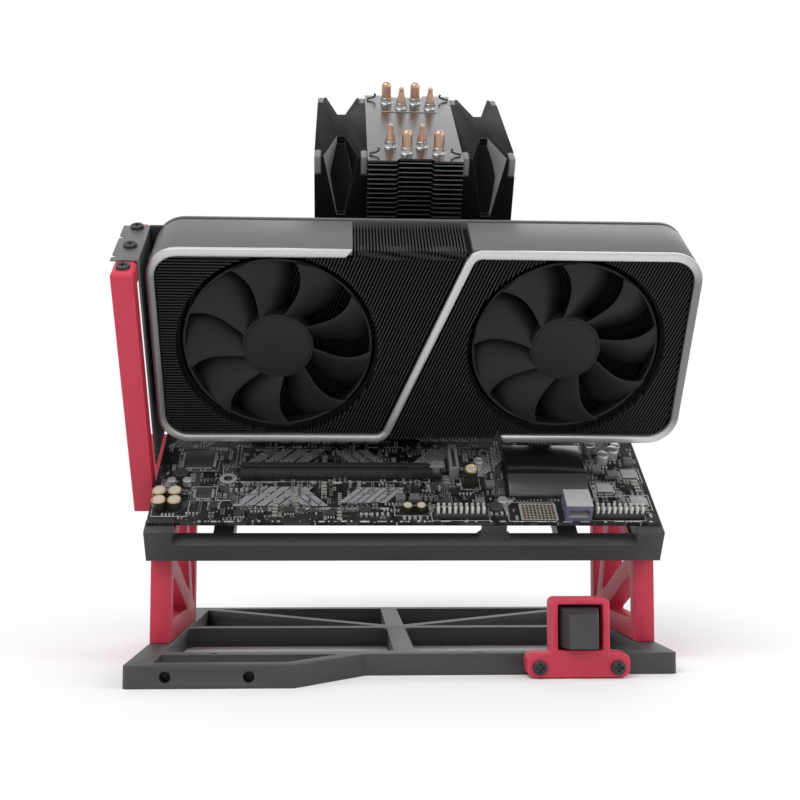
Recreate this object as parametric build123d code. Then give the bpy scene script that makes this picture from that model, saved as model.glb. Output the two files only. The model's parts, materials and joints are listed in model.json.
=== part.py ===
from build123d import *

import os
from math import cos, radians, sin, tan

# Inclined open air test bench: a flat base frame and two truss legs hold a sloping tray that carries
# a board, a graphics card with two fans and a tower cooler with two fans.
# Millimetres, +Z up, X across the front, the front on the -Y side.
# The origin is the middle of the base's main rectangle, on the surface that the bench stands on.

# Base frame
base_width = 228.0
base_depth = 192.0
base_thickness = 9.0
base_rail = 9.0
base_side_rail = 10.5
base_brace = 7.2
centre_rail_x = -1.5
lobe_width = 67.0
lobe_depth = 30.3
lobe_slope = 28.5
lobe_inset = 2.7
window_corner = 3.0
corner_chamfer = 1.5
insert_radius = 2.3
insert_offset = 6.0

# Truss legs
leg_thickness = 9.0
leg_front_y = -60.5
leg_depth = 96.5
leg_front_height = 42.2
leg_column = 8.5
leg_rail = 9.0
leg_brace = 10.0
leg_brace_foot = 19.0
leg_brace_head = 49.0
leg_corner = 2.5
tilt = 35.2

# Sloping tray
tray_side_margin = 0.7
tray_back_margin = 1.0
tray_thickness = 8.7
tray_rail = 9.0
tray_overhang = 8.9
tray_corner_block = 12.0
tray_post_u = 39.5
tray_post_width = 11.0
tray_post_flare = 2.1
standoff_height = 7.0
standoff_width = 6.4

# Board
board_width = 228.6
board_depth = 244.0
board_thickness = 1.6
board_setback = 5.0
hole_radius = 2.0
hole_side_offset = 33.0
hole_column_pitch = 154.94
hole_front_row = 34.0
hole_middle_pitch = 45.72
hole_back_margin = 6.8
hole_back_stagger = 22.86

# Slot post
post_thickness = 9.5
post_gap = 1.1
post_reach = 46.6
post_depth = 54.0
post_column = 9.5
post_bar = 9.0
post_height = 105.0
post_chamfer = 1.2

# Screws
screw_radius = 1.5
screw_clearance = 0.2
screw_tip_gap = 2.0
thread_end_wall = 1.0
thread_clearance = 0.05
head_radius = 3.0
head_height = 1.5
small_sides = 8
large_sides = 40

# Expansion slots
slot_pitch = 20.32
card_slot_v = 78.1
slot_offset = 40.4
slot_length = 89.0
slot_width = 7.5
slot_height = 11.2
slot_floor = 3.0
slot_key = 12.6
slot_key_width = 1.5
slot_contact_gap = 0.3
lower_slot_height = 4.4
lower_slot_floor = 1.4
slot_end_wall = 1.5
slot_gap = 1.9

# Retaining latches
latch_width = 4.6
latch_clearance = 0.3
latch_thickness = 3.4
latch_cheek = 1.1
latch_heel = 1.2
latch_thumb = 2.2
latch_nose = 1.4
latch_nose_gap = 0.5
latch_lip = 1.0
latch_hook = 0.6
latch_rise = 2.0
cheek_share = 0.55
memory_latch_height = 20.0
memory_latch_nose = 16.5

# Memory
memory_edge = 42.3
memory_pitch = 10.0
memory_back_margin = 13.0
memory_slot_length = 136.0
memory_slot_width = 6.6
memory_slot_height = 8.8
memory_end_wall = 1.5
module_end_gap = 2.0
module_side_gap = 0.15
module_height = 31.0
module_thickness = 1.3
module_seat = 3.4

# Graphics card
card_bracket_gap = 2.0
card_length = 242.0
card_height = 97.4
card_reach = 33.7
card_bottom_w = 13.4
card_corner = 14.0
card_wall = 3.8
trim_depth = 2.8
trim_gap = 0.5
diagonal_foot_shift = 17.0
diagonal_head_shift = 19.5
diagonal_bend = 6.0
trim_top_end = 88.8
trim_bottom_inset = 83.1
trim_top_mitre = 2.9
trim_bottom_mitre = 1.5
card_board_thickness = 1.6
backplate_thickness = 1.7
card_fin_front = 1.6
card_fin_depth = 5.0
card_fin_thickness = 1.3
card_fin_pitch = 5.0
card_fan_left = 55.6
card_fan_right_inset = 56.7
card_fan_rise = 0.3
card_fan_margin = 6.4
card_fan_turn = 20.0
card_fan_cap = 2.0
card_shaft_gap = 1.0
card_motor_gap = 0.5
card_fan_hub = 16.0
card_fan_gap = 1.5
card_fan_rim = 1.2
card_fan_front = 2.6
card_fan_depth = 10.0
card_fan_blades = 9
card_blade_root_pitch = 40.0
card_blade_tip_pitch = 20.0
card_blade_sweep = 1.0
card_blade_bow = -7.1
card_bay_depth = 15.0
card_top_relief = 0.5
bracket_thickness = 0.8
bracket_ahead = 34.7
bracket_behind = 2.7
bracket_notch = 3.0
bracket_notch_half = 1.6
bracket_tab = 11.9
bracket_foot = 1.5

# Tower cooler
cooler_u = 5.0
cooler_shift = 3.2
cooler_top = 128.0
fin_width = 45.0
fin_depth = 102.0
fin_thickness = 0.7
fin_pitch = 4.9
fin_count = 18
fin_notch = 3.0
fin_step = 1.4
pipe_radius = 2.5
pipe_pitch = 7.55
pipe_span = 69.0
pipe_stagger = 4.4
pipe_tip = 11.0
pipe_taper = 2.75
pipe_count = 4
pipe_level = 15.0
pipe_bend = 9.0
pipe_sides = 8
pipe_point = 30.0
pipe_blunt = 15.0
socket_size = 50.0
socket_height = 4.0
processor_size = 38.0
processor_height = 4.0
processor_carrier = 1.2
cooler_block = 40.0
cooler_block_height = 13.0

# Cooler fans
fan_size = 92.0
fan_depth = 25.0
fan_bore_margin = 2.5
fan_duct_wall = 2.0
fan_flange = 4.4
fan_notch_length = 29.0
fan_notch_floor = 4.0
fan_corner = 9.0
fan_pad = 3.2
fan_hub = 17.0
fan_tip_gap = 1.0
fan_blades = 7
fan_shaft = 1.5
fan_running = 0.05
fan_strut = 4.0
fan_plate = 2.5
blade_thickness = 1.3
blade_fill = 0.88
blade_camber = 0.05
fan_blade_fill = 0.6
fan_blade_root_pitch = 46.0
fan_blade_tip_pitch = 30.0
fan_blade_sweep = 20.0
fan_rotor_front = 3.0
fan_rotor_gap = 1.0

# Processor seat
socket_rim = 2.0
spreader_size = 30.0
clamp_length = 92.0
clamp_width = 12.0
clamp_thickness = 1.8
clamp_leg = 3.0

# Sockets, chips and heat spreaders on the board
port_count = 4
port_first = 16.0
port_head = 18.0
port_gap = 2.5
port_wall = 1.0
port_height = 6.5
port_mouth = 3.2
port_lip = 0.6
port_overhang = 1.5
rear_port_back = 148.0
rear_port_depth = 18.0
rear_port_width = 15.4
rear_port_gap = 3.0
rear_port_rise = 7.5
rear_port_roof = 1.0
rear_port_wall = 1.2
rear_port_sill = 2.8
rear_port_back_wall = 4.0
rear_port_levels = (2, 2, 3, 2, 4)
regulator_edge = 32.3
regulator_width = 18.0
regulator_length = 80.0
regulator_height = 26.0
regulator_groove = 14.0
back_regulator_depth = 16.0
back_regulator_margin = 6.0
back_regulator_height = 24.0
back_regulator_groove = 12.0
chipset_offset = 34.7
chipset_share = 0.558
chipset_v = 20.0
chipset_depth = 34.0
chipset_bevel = 10.0
chipset_height = 6.0
chipset_nose = 2.1
power_width = 9.6
power_height = 12.8
power_wall = 1.3
power_well = 2.9
power_septum = 1.2
power_floor = 4.0
power_catch = 1.4
power_catch_width = 6.0
power_catch_top = 10.0
main_power_edge = 11.3
main_power_back = 104.0
main_power_length = 51.6
small_power_back = 20.0
small_power_length = 18.0
header_v = 5.0
header_left_u = 12.5
header_left_length = 24.0
header_right_edge = 30.3
header_right_length = 23.0
header_width = 5.0
header_height = 2.6
drive_gap = 1.0
drive_v = 1.0
drive_width = 12.0
drive_depth = 13.0
drive_height = 8.5
drive_wall = 1.5
drive_throat = 8.0
drive_sill = 2.5
upright_offset = 8.2
upright_v = 33.0
upright_width = 4.4
upright_length = 20.0
upright_height = 7.0
upright_wall = 1.3
upright_floor = 2.0
capacitor_sides = 8
corner_capacitor_radius = 3.3
corner_capacitor_height = 5.0
corner_capacitor_places = ((4.3, 11.0), (11.2, 11.0), (3.7, 18.2), (10.6, 18.2))
row_capacitor_radius = 2.9
row_capacitor_height = 8.0
row_capacitor_pitch = 10.0
row_capacitor_count = 6
row_capacitor_back = 38.0
front_capacitor_radius = 2.2
front_capacitor_height = 3.5
front_capacitor_v = 9.0
front_capacitor_gaps = (5.5, 11.6)
lone_capacitor_radius = 3.3
lone_capacitor_height = 9.0
lone_capacitor_gap = 5.1
lone_capacitor_v = 30.0
chip_height = 1.2
large_chip = 13.6
large_chip_edge = 18.3
large_chip_v = 49.4
small_chip = 7.0
left_chip_edge = 23.0
left_chip_v = 21.8
right_chip_places = ((0.32, 25.6), (0.113, 37.0), (0.112, 15.4))

# Power key
holder_x = 69.8
holder_width = 43.0
holder_height = 10.0
holder_corner = 3.5
holder_depth = 11.5
holder_lift = 0.5
holder_screw_pitch = 32.7
holder_screw_z = 4.6
hood_width = 24.5
hood_height = 33.0
hood_shift = 0.8
hood_corner = 1.5
key_pocket = 18.8
key_drop = 12.0
key_plate = 3.0
key_plate_inset = 1.0
keycap_gap = 0.7
keycap_face_width = 12.2
keycap_face_height = 14.3
keycap_face_drop = 1.0
keycap_height = 11.6
keycap_wall = 1.3
key_travel = 3.5
key_clearance = 0.3
switch_body = 14.0
switch_rim = 15.6
switch_rise = 6.2
switch_drop = 5.0
switch_flange = 1.0
stem_reach = 2.6
stem_size = 6.0
switch_top = 10.5

# Worked out places
half_base = base_width / 2
base_front = -base_depth / 2
base_back = base_depth / 2
leg_back_y = leg_front_y + leg_depth
tray_width = board_width + 2 * tray_side_margin
tray_depth = board_setback + board_depth + tray_back_margin
half_tray = tray_width / 2
tray_top = -(board_thickness + standoff_height)
tray_bottom = tray_top - tray_thickness
tray_front = -board_setback
tray_back = tray_front + tray_depth
half_board = board_width / 2
leg_mark_v = tray_front + tray_overhang
slope_sin = sin(radians(tilt))
slope_cos = cos(radians(tilt))
rack_y = leg_front_y - leg_mark_v * slope_cos + tray_bottom * slope_sin
rack_z = base_thickness + leg_front_height - leg_mark_v * slope_sin - tray_bottom * slope_cos
# The rack frame: x along the board's front edge, y up the slope, z out of the board, from its top face.
RACK = Location((0, rack_y, rack_z), (tilt, 0, 0))

post_inner = -(half_tray + post_gap)
post_outer = post_inner - post_thickness
post_front_v = card_slot_v - post_reach
bracket_outer = post_inner + bracket_thickness
card_left_u = bracket_outer + card_bracket_gap
card_front_v = card_slot_v - card_reach
card_right_u = card_left_u + card_length
card_top_w = card_bottom_w + card_height
card_board_front = card_slot_v - card_board_thickness / 2
card_board_back = card_slot_v + card_board_thickness / 2
card_fan_w = card_bottom_w + card_height / 2 + card_fan_rise
card_fan_radius = card_height / 2 - card_fan_margin
card_fan_places = [card_left_u + card_fan_left, card_right_u - card_fan_right_inset]
diagonal_foot = card_length / 2 - diagonal_foot_shift
diagonal_head = card_length / 2 + diagonal_head_shift
trim_bottom_end = card_length - trim_bottom_inset
card_core_front = card_front_v + card_fin_front + card_fin_depth
card_bay_floor = card_core_front + card_bay_depth
lean = (diagonal_head - diagonal_foot) / (card_height - card_wall)
lower_slot_v = card_slot_v - 2 * slot_pitch
slot_left_u = post_inner + slot_offset
slot_right_u = slot_left_u + slot_length
port_pitch = (post_height - port_head - card_bottom_w - port_first) / (port_count - 1)
port_width = port_pitch - port_gap
memory_front_v = board_depth - memory_back_margin - memory_slot_length
memory_u = half_board - memory_edge
module_length = memory_slot_length - 2 * module_end_gap
cooler_v = memory_front_v + memory_slot_length / 2 - cooler_shift
fan_bore = fan_size / 2 - fan_bore_margin
fan_centre_w = cooler_top - fan_size / 2
fan_left_u = cooler_u - fin_width / 2 - fan_depth
fan_right_u = cooler_u + fin_width / 2
rear_port_v = board_depth - rear_port_back
regulator_u = -half_board + regulator_edge
chipset_u = slot_right_u + chipset_offset
front_space = half_board - chipset_u
chipset_width = front_space * chipset_share
main_power_u = half_board - main_power_edge
header_right_u = half_board - header_right_edge
drive_u = header_right_u - drive_gap - drive_width
upright_u = slot_right_u + upright_offset
hood_front_y = base_front - holder_depth
key_x = holder_x + hood_shift
key_centre_z = hood_height - key_drop
keycap_foot = key_pocket - 2 * keycap_gap
key_plate_y = base_front - key_plate + key_plate_inset


def block(x0, x1, y0, y1, z0, z1):
    """Box between two opposite corners."""
    middle = Pos((x0 + x1) / 2, (y0 + y1) / 2, (z0 + z1) / 2)
    return middle * Box(x1 - x0, y1 - y0, z1 - z0)


def rod_y(radius, x, y0, y1, z):
    """Round bar along Y."""
    return Pos(x, (y0 + y1) / 2, z) * Rot(90, 0, 0) * Cylinder(radius, y1 - y0)


def flat_prism(sketch, z0, z1):
    """Outline in X and Y, thickened from z0 to z1."""
    return extrude(Pos(0, 0, z0) * sketch, z1 - z0)


def front_prism(sketch, y0, y1):
    """Outline in X and Z, thickened from y0 to y1."""
    plane = Plane(origin=(0, y1, 0), x_dir=(1, 0, 0), z_dir=(0, -1, 0))
    return extrude(plane * sketch, y1 - y0)


def side_prism(sketch, x0, x1):
    """Outline in Y and Z, thickened from x0 to x1."""
    plane = Plane(origin=(x0, 0, 0), x_dir=(0, 1, 0), z_dir=(1, 0, 0))
    return extrude(plane * sketch, x1 - x0)


def outline(*points):
    """Closed straight sided outline."""
    return make_face(Polyline(*points, close=True))


def rectangle(x0, x1, y0, y1):
    """Rectangle between two opposite corners."""
    return Pos((x0 + x1) / 2, (y0 + y1) / 2) * Rectangle(x1 - x0, y1 - y0)


def rounded(x0, x1, y0, y1, radius):
    """Rectangle with round corners."""
    return Pos((x0 + x1) / 2, (y0 + y1) / 2) * RectangleRounded(x1 - x0, y1 - y0, radius)


def clipped(x0, x1, y0, y1, corner):
    """Rectangle with its corners cut off."""
    sketch = rectangle(x0, x1, y0, y1)
    return chamfer(sketch.vertices(), corner)


def strut(start, end, width):
    """Straight band between two points."""
    return trace(Line(start, end), width)


def group(*shapes):
    """Separate solids kept together."""
    return Compound([solid for shape in shapes for solid in shape.solids()])


def facet_rod(radius, sides, z0, z1):
    """Faceted bar along Z inside a circle."""
    return flat_prism(RegularPolygon(radius, sides), z0, z1)


def facet_bore(radius, sides, z0, z1):
    """Faceted bar along Z round a circle, to cut a clear hole."""
    return flat_prism(RegularPolygon(radius, sides, major_radius=False), z0, z1)


def facing_front(x, y, z):
    """Place at a point whose own +Z looks towards the front."""
    return Plane(origin=(x, y, z), x_dir=(1, 0, 0), z_dir=(0, -1, 0)).location


def screw(length):
    """Pan head screw along -Z with its bearing face at the origin."""
    head = facet_rod(head_radius, 2 * small_sides, 0, head_height)
    return head + facet_rod(screw_radius, small_sides, -length, 0)


def facet_loft(rows):
    """Solid with flat facets between rows of points, each row going round one section."""
    faces = []
    for low, high in zip(rows, rows[1:]):
        for step in range(len(low)):
            after = (step + 1) % len(low)
            faces.append(facet(low[step], low[after], high[after]))
            faces.append(facet(low[step], high[after], high[step]))
    for row in (rows[0], rows[-1]):
        half = len(row) // 2
        for step in range(half - 1):
            first, second = row[step], row[step + 1]
            third, fourth = row[-2 - step], row[-1 - step]
            faces.append(facet(first, second, third))
            faces.append(facet(first, third, fourth))
    return Solid(Shell(faces))


def pyramid(place, foot, face, height, drop=0.0):
    """Block with sloping sides along the place's own +Z, from a foot to a face moved down by the drop."""
    rows = []
    for (width, tall), level, shift in ((foot, 0, 0), (face, height, drop)):
        x = width / 2
        y = tall / 2
        corners = ((-x, -y), (x, -y), (x, y), (-x, y))
        rows.append([(place * Pos(across, up - shift, level)).position for across, up in corners])
    return facet_loft(rows)


def facet(*points):
    """Flat face through three points."""
    return Face(Wire.make_polygon(points, close=True))


def base_frame():
    """Ladder frame with a lobe at its front left, diagonal braces and screw holes in its front."""
    lobe_front = base_front - lobe_depth
    plate = outline(
        (-half_base, lobe_front),
        (-half_base + lobe_width, lobe_front),
        (-half_base + lobe_width + lobe_slope, base_front),
        (half_base, base_front),
        (half_base, base_back),
        (-half_base, base_back),
    )
    inner = half_base - base_side_rail
    left_end = centre_rail_x - base_rail / 2
    right_start = centre_rail_x + base_rail / 2
    cross_front = -base_rail / 2
    cross_back = base_rail / 2
    front_edge = base_front + base_rail
    back_edge = base_back - base_rail
    front_windows = clipped(-inner, left_end, front_edge, cross_front, window_corner)
    front_windows += clipped(right_start, inner, front_edge, cross_front, window_corner)
    back_windows = rectangle(-inner, left_end, cross_back, back_edge)
    back_windows += rectangle(right_start, inner, cross_back, back_edge)
    back_windows -= strut((-inner, back_edge), (left_end, cross_back), base_brace)
    back_windows -= strut((inner, back_edge), (right_start, cross_back), base_brace)
    slant = lobe_slope / lobe_depth
    slot_right = -half_base + lobe_width - lobe_inset
    slot_front = lobe_front + base_rail
    lobe_slot = outline(
        (-inner, slot_front),
        (slot_right, slot_front),
        (slot_right + (base_front - slot_front) * slant, base_front),
        (-inner, base_front),
    )
    body = flat_prism(plate - front_windows - back_windows - lobe_slot, 0, base_thickness)
    outer = body.edges().filter_by(Axis.Z).filter_by_position(Axis.X, -half_base, -half_base)
    outer += body.edges().filter_by(Axis.Z).filter_by_position(Axis.X, half_base, half_base)
    body = chamfer(outer, corner_chamfer)
    thread = screw_radius + thread_clearance
    depth = base_rail - thread_end_wall
    for side in (-1, 1):
        x = side * holder_screw_pitch / 2
        place = facing_front(holder_x + x, base_front + depth, holder_screw_z)
        body -= place * facet_bore(thread, small_sides, 0, depth)
        lobe_x = -half_base + base_side_rail + holder_screw_pitch / 2 + insert_offset + x
        body -= rod_y(insert_radius, lobe_x, lobe_front, lobe_front + depth, base_thickness / 2)
    return body


def slope_height(y):
    """Height of the tray's underside over a place along Y."""
    return base_thickness + leg_front_height + (y - leg_front_y) * tan(radians(tilt))


def leg(x0):
    """Truss leg: an upright trapezoid with a sloping top and three braced windows."""
    plate = outline(
        (leg_front_y, base_thickness),
        (leg_back_y, base_thickness),
        (leg_back_y, slope_height(leg_back_y)),
        (leg_front_y, slope_height(leg_front_y)),
    )
    low = base_thickness + leg_rail
    drop = leg_rail / slope_cos
    members = rectangle(leg_front_y, leg_front_y + leg_column, base_thickness, slope_height(leg_back_y))
    members += rectangle(leg_back_y - leg_column, leg_back_y, base_thickness, slope_height(leg_back_y))
    members += rectangle(leg_front_y, leg_back_y, base_thickness, low)
    members += outline(
        (leg_front_y, slope_height(leg_front_y) - drop),
        (leg_back_y, slope_height(leg_back_y) - drop),
        (leg_back_y, slope_height(leg_back_y)),
        (leg_front_y, slope_height(leg_front_y)),
    )
    brace_low = (leg_back_y - leg_column, low - leg_brace / 2)
    brace_high = (leg_front_y + leg_column / 2, slope_height(leg_front_y) - drop / 2)
    members += strut(brace_high, brace_low, leg_brace)
    foot = (leg_back_y - leg_brace_foot, low)
    head_y = leg_back_y - leg_brace_head
    members += strut(foot, (head_y, slope_height(head_y) - drop / 2), leg_brace)
    body = side_prism(plate & members, x0, x0 + leg_thickness)
    corners = body.edges().filter_by(Axis.X)
    outside = corners.filter_by_position(Axis.Y, leg_front_y, leg_front_y)
    outside += corners.filter_by_position(Axis.Y, leg_back_y, leg_back_y)
    windows = [edge for edge in corners if edge not in outside]
    return chamfer(windows, leg_corner)


def board_holes():
    """Places of the board's mounting holes in the rack frame."""
    left = -half_board + hole_side_offset
    right = left + hole_column_pitch
    back = board_depth - hole_back_margin
    middle = hole_front_row + hole_middle_pitch
    return [
        (left, hole_front_row),
        (right, hole_front_row),
        (left, middle),
        (right, middle),
        (left, back - hole_back_stagger),
        (right, back),
    ]


def board_tray():
    """Tray frame with two carrier ribs, a cross rib, hexagonal standoffs and raised front supports."""
    left_rib = -half_board + hole_side_offset
    right_rib = left_rib + hole_column_pitch
    cross = hole_front_row + hole_middle_pitch
    half = tray_rail / 2
    inner = half_tray - tray_rail
    front_edge = tray_front + tray_rail
    back_edge = tray_back - tray_rail
    plate = rectangle(-half_tray, half_tray, tray_front, tray_back)
    spans = ((-inner, left_rib - half), (left_rib + half, right_rib - half), (right_rib + half, inner))
    for start, end in spans:
        plate -= rectangle(start, end, front_edge, cross - half)
        plate -= rectangle(start, end, cross + half, back_edge)
    body = flat_prism(plate, tray_bottom, tray_top)
    for u, v in board_holes():
        hexagon = RegularPolygon(standoff_width / 2, 6, major_radius=False)
        body += flat_prism(Pos(u, v) * hexagon, tray_top, -board_thickness)
    for side in (-1, 1):
        ends = sorted((side * half_tray, side * (half_tray - tray_corner_block)))
        body += block(*ends, tray_front, front_edge, tray_top, -board_thickness)
    flare = tray_post_flare
    support = outline(
        (tray_post_u - tray_post_width / 2 - flare, tray_top),
        (tray_post_u + tray_post_width / 2 + flare, tray_top),
        (tray_post_u + tray_post_width / 2, tray_top + flare),
        (tray_post_u + tray_post_width / 2, -board_thickness),
        (tray_post_u - tray_post_width / 2, -board_thickness),
        (tray_post_u - tray_post_width / 2, tray_top + flare),
    )
    body += front_prism(support, 0, front_edge)
    return body


def slot_post():
    """C shaped post outside the board's left edge, with threaded holes along its top bar."""
    back = post_front_v + post_depth
    profile = rectangle(post_front_v, back, tray_bottom, post_height)
    opening = rectangle(post_front_v + post_column, back, tray_top, post_height - post_bar)
    body = side_prism(profile - opening, post_outer, post_inner)
    top_edges = body.edges().filter_by_position(Axis.Z, post_height, post_height)
    body = chamfer(top_edges, post_chamfer)
    body += block(post_inner, -half_tray, post_front_v, back, tray_bottom, tray_top)
    for u, v in slot_screw_places():
        thread = facet_bore(screw_radius + thread_clearance, small_sides, post_height - post_bar, post_height)
        body -= Pos(u, v) * thread
    return body


def slot_screw_places():
    """Screw places along the post's top, one slot pitch apart."""
    middle = (post_inner + post_outer) / 2
    return [(middle, card_slot_v - step * slot_pitch) for step in range(3)]


def slot_screws():
    """The back two screws clamp the card's tab and the front one stands on the post itself."""
    shapes = []
    for step, (u, v) in enumerate(slot_screw_places()):
        seat = post_height if step == 2 else post_height + bracket_thickness
        shapes.append(Pos(u, v, seat) * screw(seat - post_height + post_bar - thread_end_wall))
    return group(*shapes)


def circuit_board():
    """Board with its mounting holes."""
    plate = rectangle(-half_board, half_board, 0, board_depth)
    for u, v in board_holes():
        plate -= Pos(u, v) * RegularPolygon(hole_radius, small_sides, major_radius=False)
    return flat_prism(plate, -board_thickness, 0)


def latch(height, nose):
    """Latch lever that leans out along +X about Y, with a nose over the slot and a thumb rest."""
    half = latch_thickness / 2
    low = latch_clearance
    profile = outline(
        (-half, low + latch_heel),
        (-half + latch_heel, low),
        (half - latch_heel, low),
        (half, low + latch_heel),
        (half, nose),
        (half + latch_thumb, height - latch_lip),
        (half + latch_thumb, height),
        (-half, height),
        (-half - latch_nose, nose + latch_hook),
        (-half, nose),
    )
    return front_prism(profile, -latch_width / 2, latch_width / 2)


def latch_seat(height):
    """Pair of cheeks that a latch turns between."""
    half = latch_width / 2 + latch_clearance
    shapes = []
    for side in (-1, 1):
        ends = sorted((side * half, side * (half + latch_cheek)))
        inner = -latch_thickness / 2 - latch_clearance
        shapes.append(block(inner, latch_thickness / 2 + latch_cheek, *ends, 0, height))
    return shapes[0] + shapes[1]


def slot_latch_place(v):
    """Foot of an expansion slot's latch."""
    return Pos(slot_right_u + latch_thickness / 2 + latch_clearance, v, 0)


def expansion_slot(v, height, floor):
    """Card edge slot with a divided cavity and cheeks for its latch."""
    body = block(slot_left_u, slot_right_u, v - slot_width / 2, v + slot_width / 2, 0, height)
    key = slot_left_u + slot_end_wall + slot_key
    low = v - slot_gap / 2
    high = v + slot_gap / 2
    body -= block(slot_left_u + slot_end_wall, key, low, high, floor, height)
    body -= block(key + slot_key_width, slot_right_u - slot_end_wall, low, high, floor, height)
    return body + slot_latch_place(v) * latch_seat(cheek_share * height)


def slot_latch(v, height):
    """Latch of an expansion slot."""
    return slot_latch_place(v) * latch(height + latch_rise, height + latch_nose_gap)


def memory_places():
    """Positions of the memory slots across the board."""
    return [memory_u, memory_u + memory_pitch]


def memory_latch_place(u):
    """Foot of a memory slot's latch, which leans out up the slope."""
    back = memory_front_v + memory_slot_length
    return Location((u, back + latch_thickness / 2 + latch_clearance, 0), (0, 0, 90))


def memory_slots():
    """Memory slots, each with a cavity, a fixed end tower and cheeks for its latch."""
    shapes = []
    for u in memory_places():
        half = memory_slot_width / 2
        back = memory_front_v + memory_slot_length
        body = block(u - half, u + half, memory_front_v, back, 0, memory_slot_height)
        cut = module_thickness / 2 + module_side_gap
        ends = (memory_front_v + memory_end_wall, back - memory_end_wall)
        body -= block(u - cut, u + cut, *ends, module_seat - slot_contact_gap, memory_slot_height)
        body += memory_latch_place(u) * latch_seat(cheek_share * memory_slot_height)
        shapes.append(body)
    return group(*shapes)


def memory_modules():
    """Memory modules standing in the slots."""
    start = memory_front_v + module_end_gap
    half = module_thickness / 2
    top = module_seat + module_height
    shapes = []
    for u in memory_places():
        shapes.append(block(u - half, u + half, start, start + module_length, module_seat, top))
    return group(*shapes)


def card_corner_points():
    """Middle line corners of the card's wall: left, right, low, high."""
    half = card_wall / 2
    return card_left_u + half, card_right_u - half, card_bottom_w + half, card_top_w - half


def card_trim_path():
    """Middle line of the bright ribbon, which runs round the card's face in an S."""
    left, right, low, high = card_corner_points()
    turn = card_corner - card_wall / 2
    return FilletPolyline(
        (card_left_u + trim_top_end, high),
        (left, high),
        (left, low),
        (card_left_u + diagonal_foot, low),
        (card_left_u + diagonal_head, high),
        (right, high),
        (right, low),
        (card_left_u + trim_bottom_end, low),
        radius=[turn, turn, diagonal_bend, diagonal_bend, turn, turn],
    )


def card_trim():
    """Bright ribbon on the card's face, with its two ends cut on the slant."""
    top_end = card_left_u + trim_top_end
    bottom_end = card_left_u + trim_bottom_end
    inner_top = card_top_w - card_wall
    inner_bottom = card_bottom_w + card_wall
    ribbon = trace(card_trim_path(), card_wall)
    ribbon -= outline((top_end - trim_top_mitre, inner_top), (top_end, inner_top), (top_end, card_top_w))
    ribbon -= outline(
        (bottom_end, card_bottom_w),
        (bottom_end + trim_bottom_mitre, card_bottom_w),
        (bottom_end, inner_bottom),
    )
    return front_prism(ribbon, card_front_v, card_front_v + trim_depth)


def card_housing():
    """The two bent walls behind the bright ribbon."""
    left, right, low, high = card_corner_points()
    turn = card_corner - card_wall / 2
    first = FilletPolyline(
        (card_left_u + trim_top_end, high),
        (left, high),
        (left, low),
        (card_left_u + diagonal_foot, low),
        radius=turn,
    )
    second = FilletPolyline(
        (card_left_u + diagonal_head, high),
        (right, high),
        (right, low),
        (card_left_u + trim_bottom_end, low),
        radius=turn,
    )
    front = card_front_v + trim_depth
    return group(
        front_prism(trace(first, card_wall), front, card_board_front),
        front_prism(trace(second, card_wall), front, card_board_front),
    )


def card_inside():
    """Outline inside the card's walls."""
    return rounded(
        card_left_u + card_wall,
        card_right_u - card_wall,
        card_bottom_w + card_wall,
        card_top_w - card_wall,
        card_corner - card_wall,
    )


def card_fan_discs(radius):
    """Round openings in front of the card's fans."""
    disc = RegularPolygon(radius, large_sides, major_radius=False)
    return Pos(card_fan_places[0], card_fan_w) * disc + Pos(card_fan_places[1], card_fan_w) * disc


def card_fins():
    """Finned block of the card, with level fins at its left and leaning fins elsewhere, and two fan bays."""
    inside = card_inside()
    bay = card_fan_radius + card_fan_gap
    core = front_prism(inside, card_core_front, card_board_front)
    core -= front_prism(card_fan_discs(bay), card_core_front, card_bay_floor)
    left = card_left_u + card_wall
    border = card_fan_places[0]
    low = card_bottom_w + card_wall
    high = card_top_w - card_wall
    run = (high - low) * lean
    half = card_fin_thickness / 2
    levels = steps(low + card_fin_pitch / 2, high, card_fin_pitch)
    level = [rectangle(left, border, w - half, w + half) for w in levels]
    leaning = []
    for u in steps(border - run, card_right_u, card_fin_pitch):
        foot = ((u - half, low), (u + half, low))
        leaning.append(outline(*foot, (u + run + half, high), (u + run - half, high)))
    right_side = rectangle(border + card_fin_pitch / 2, card_right_u, low, high)
    clear = card_fan_discs(bay + card_fan_rim) + trace(card_trim_path(), card_wall + 2 * trim_gap)
    fins = (Sketch() + level) + ((Sketch() + leaning) & right_side)
    fins = (fins & inside) - clear
    ridges = front_prism(fins, card_front_v + card_fin_front, card_core_front)
    top_start = card_left_u + trim_top_end + card_fin_pitch / 2
    top_stop = card_left_u + diagonal_head - card_fin_thickness
    fin_front = card_front_v + card_fin_front
    top_band = [
        block(u - half, u + half, fin_front, card_board_front, high, card_top_w - card_top_relief)
        for u in steps(top_start, top_stop, card_fin_pitch)
    ]
    return core + ridges.solids() + top_band


def steps(start, stop, pitch):
    """Evenly spaced values from start up to stop."""
    values = []
    value = start
    while value < stop:
        values.append(value)
        value += pitch
    return values


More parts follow.
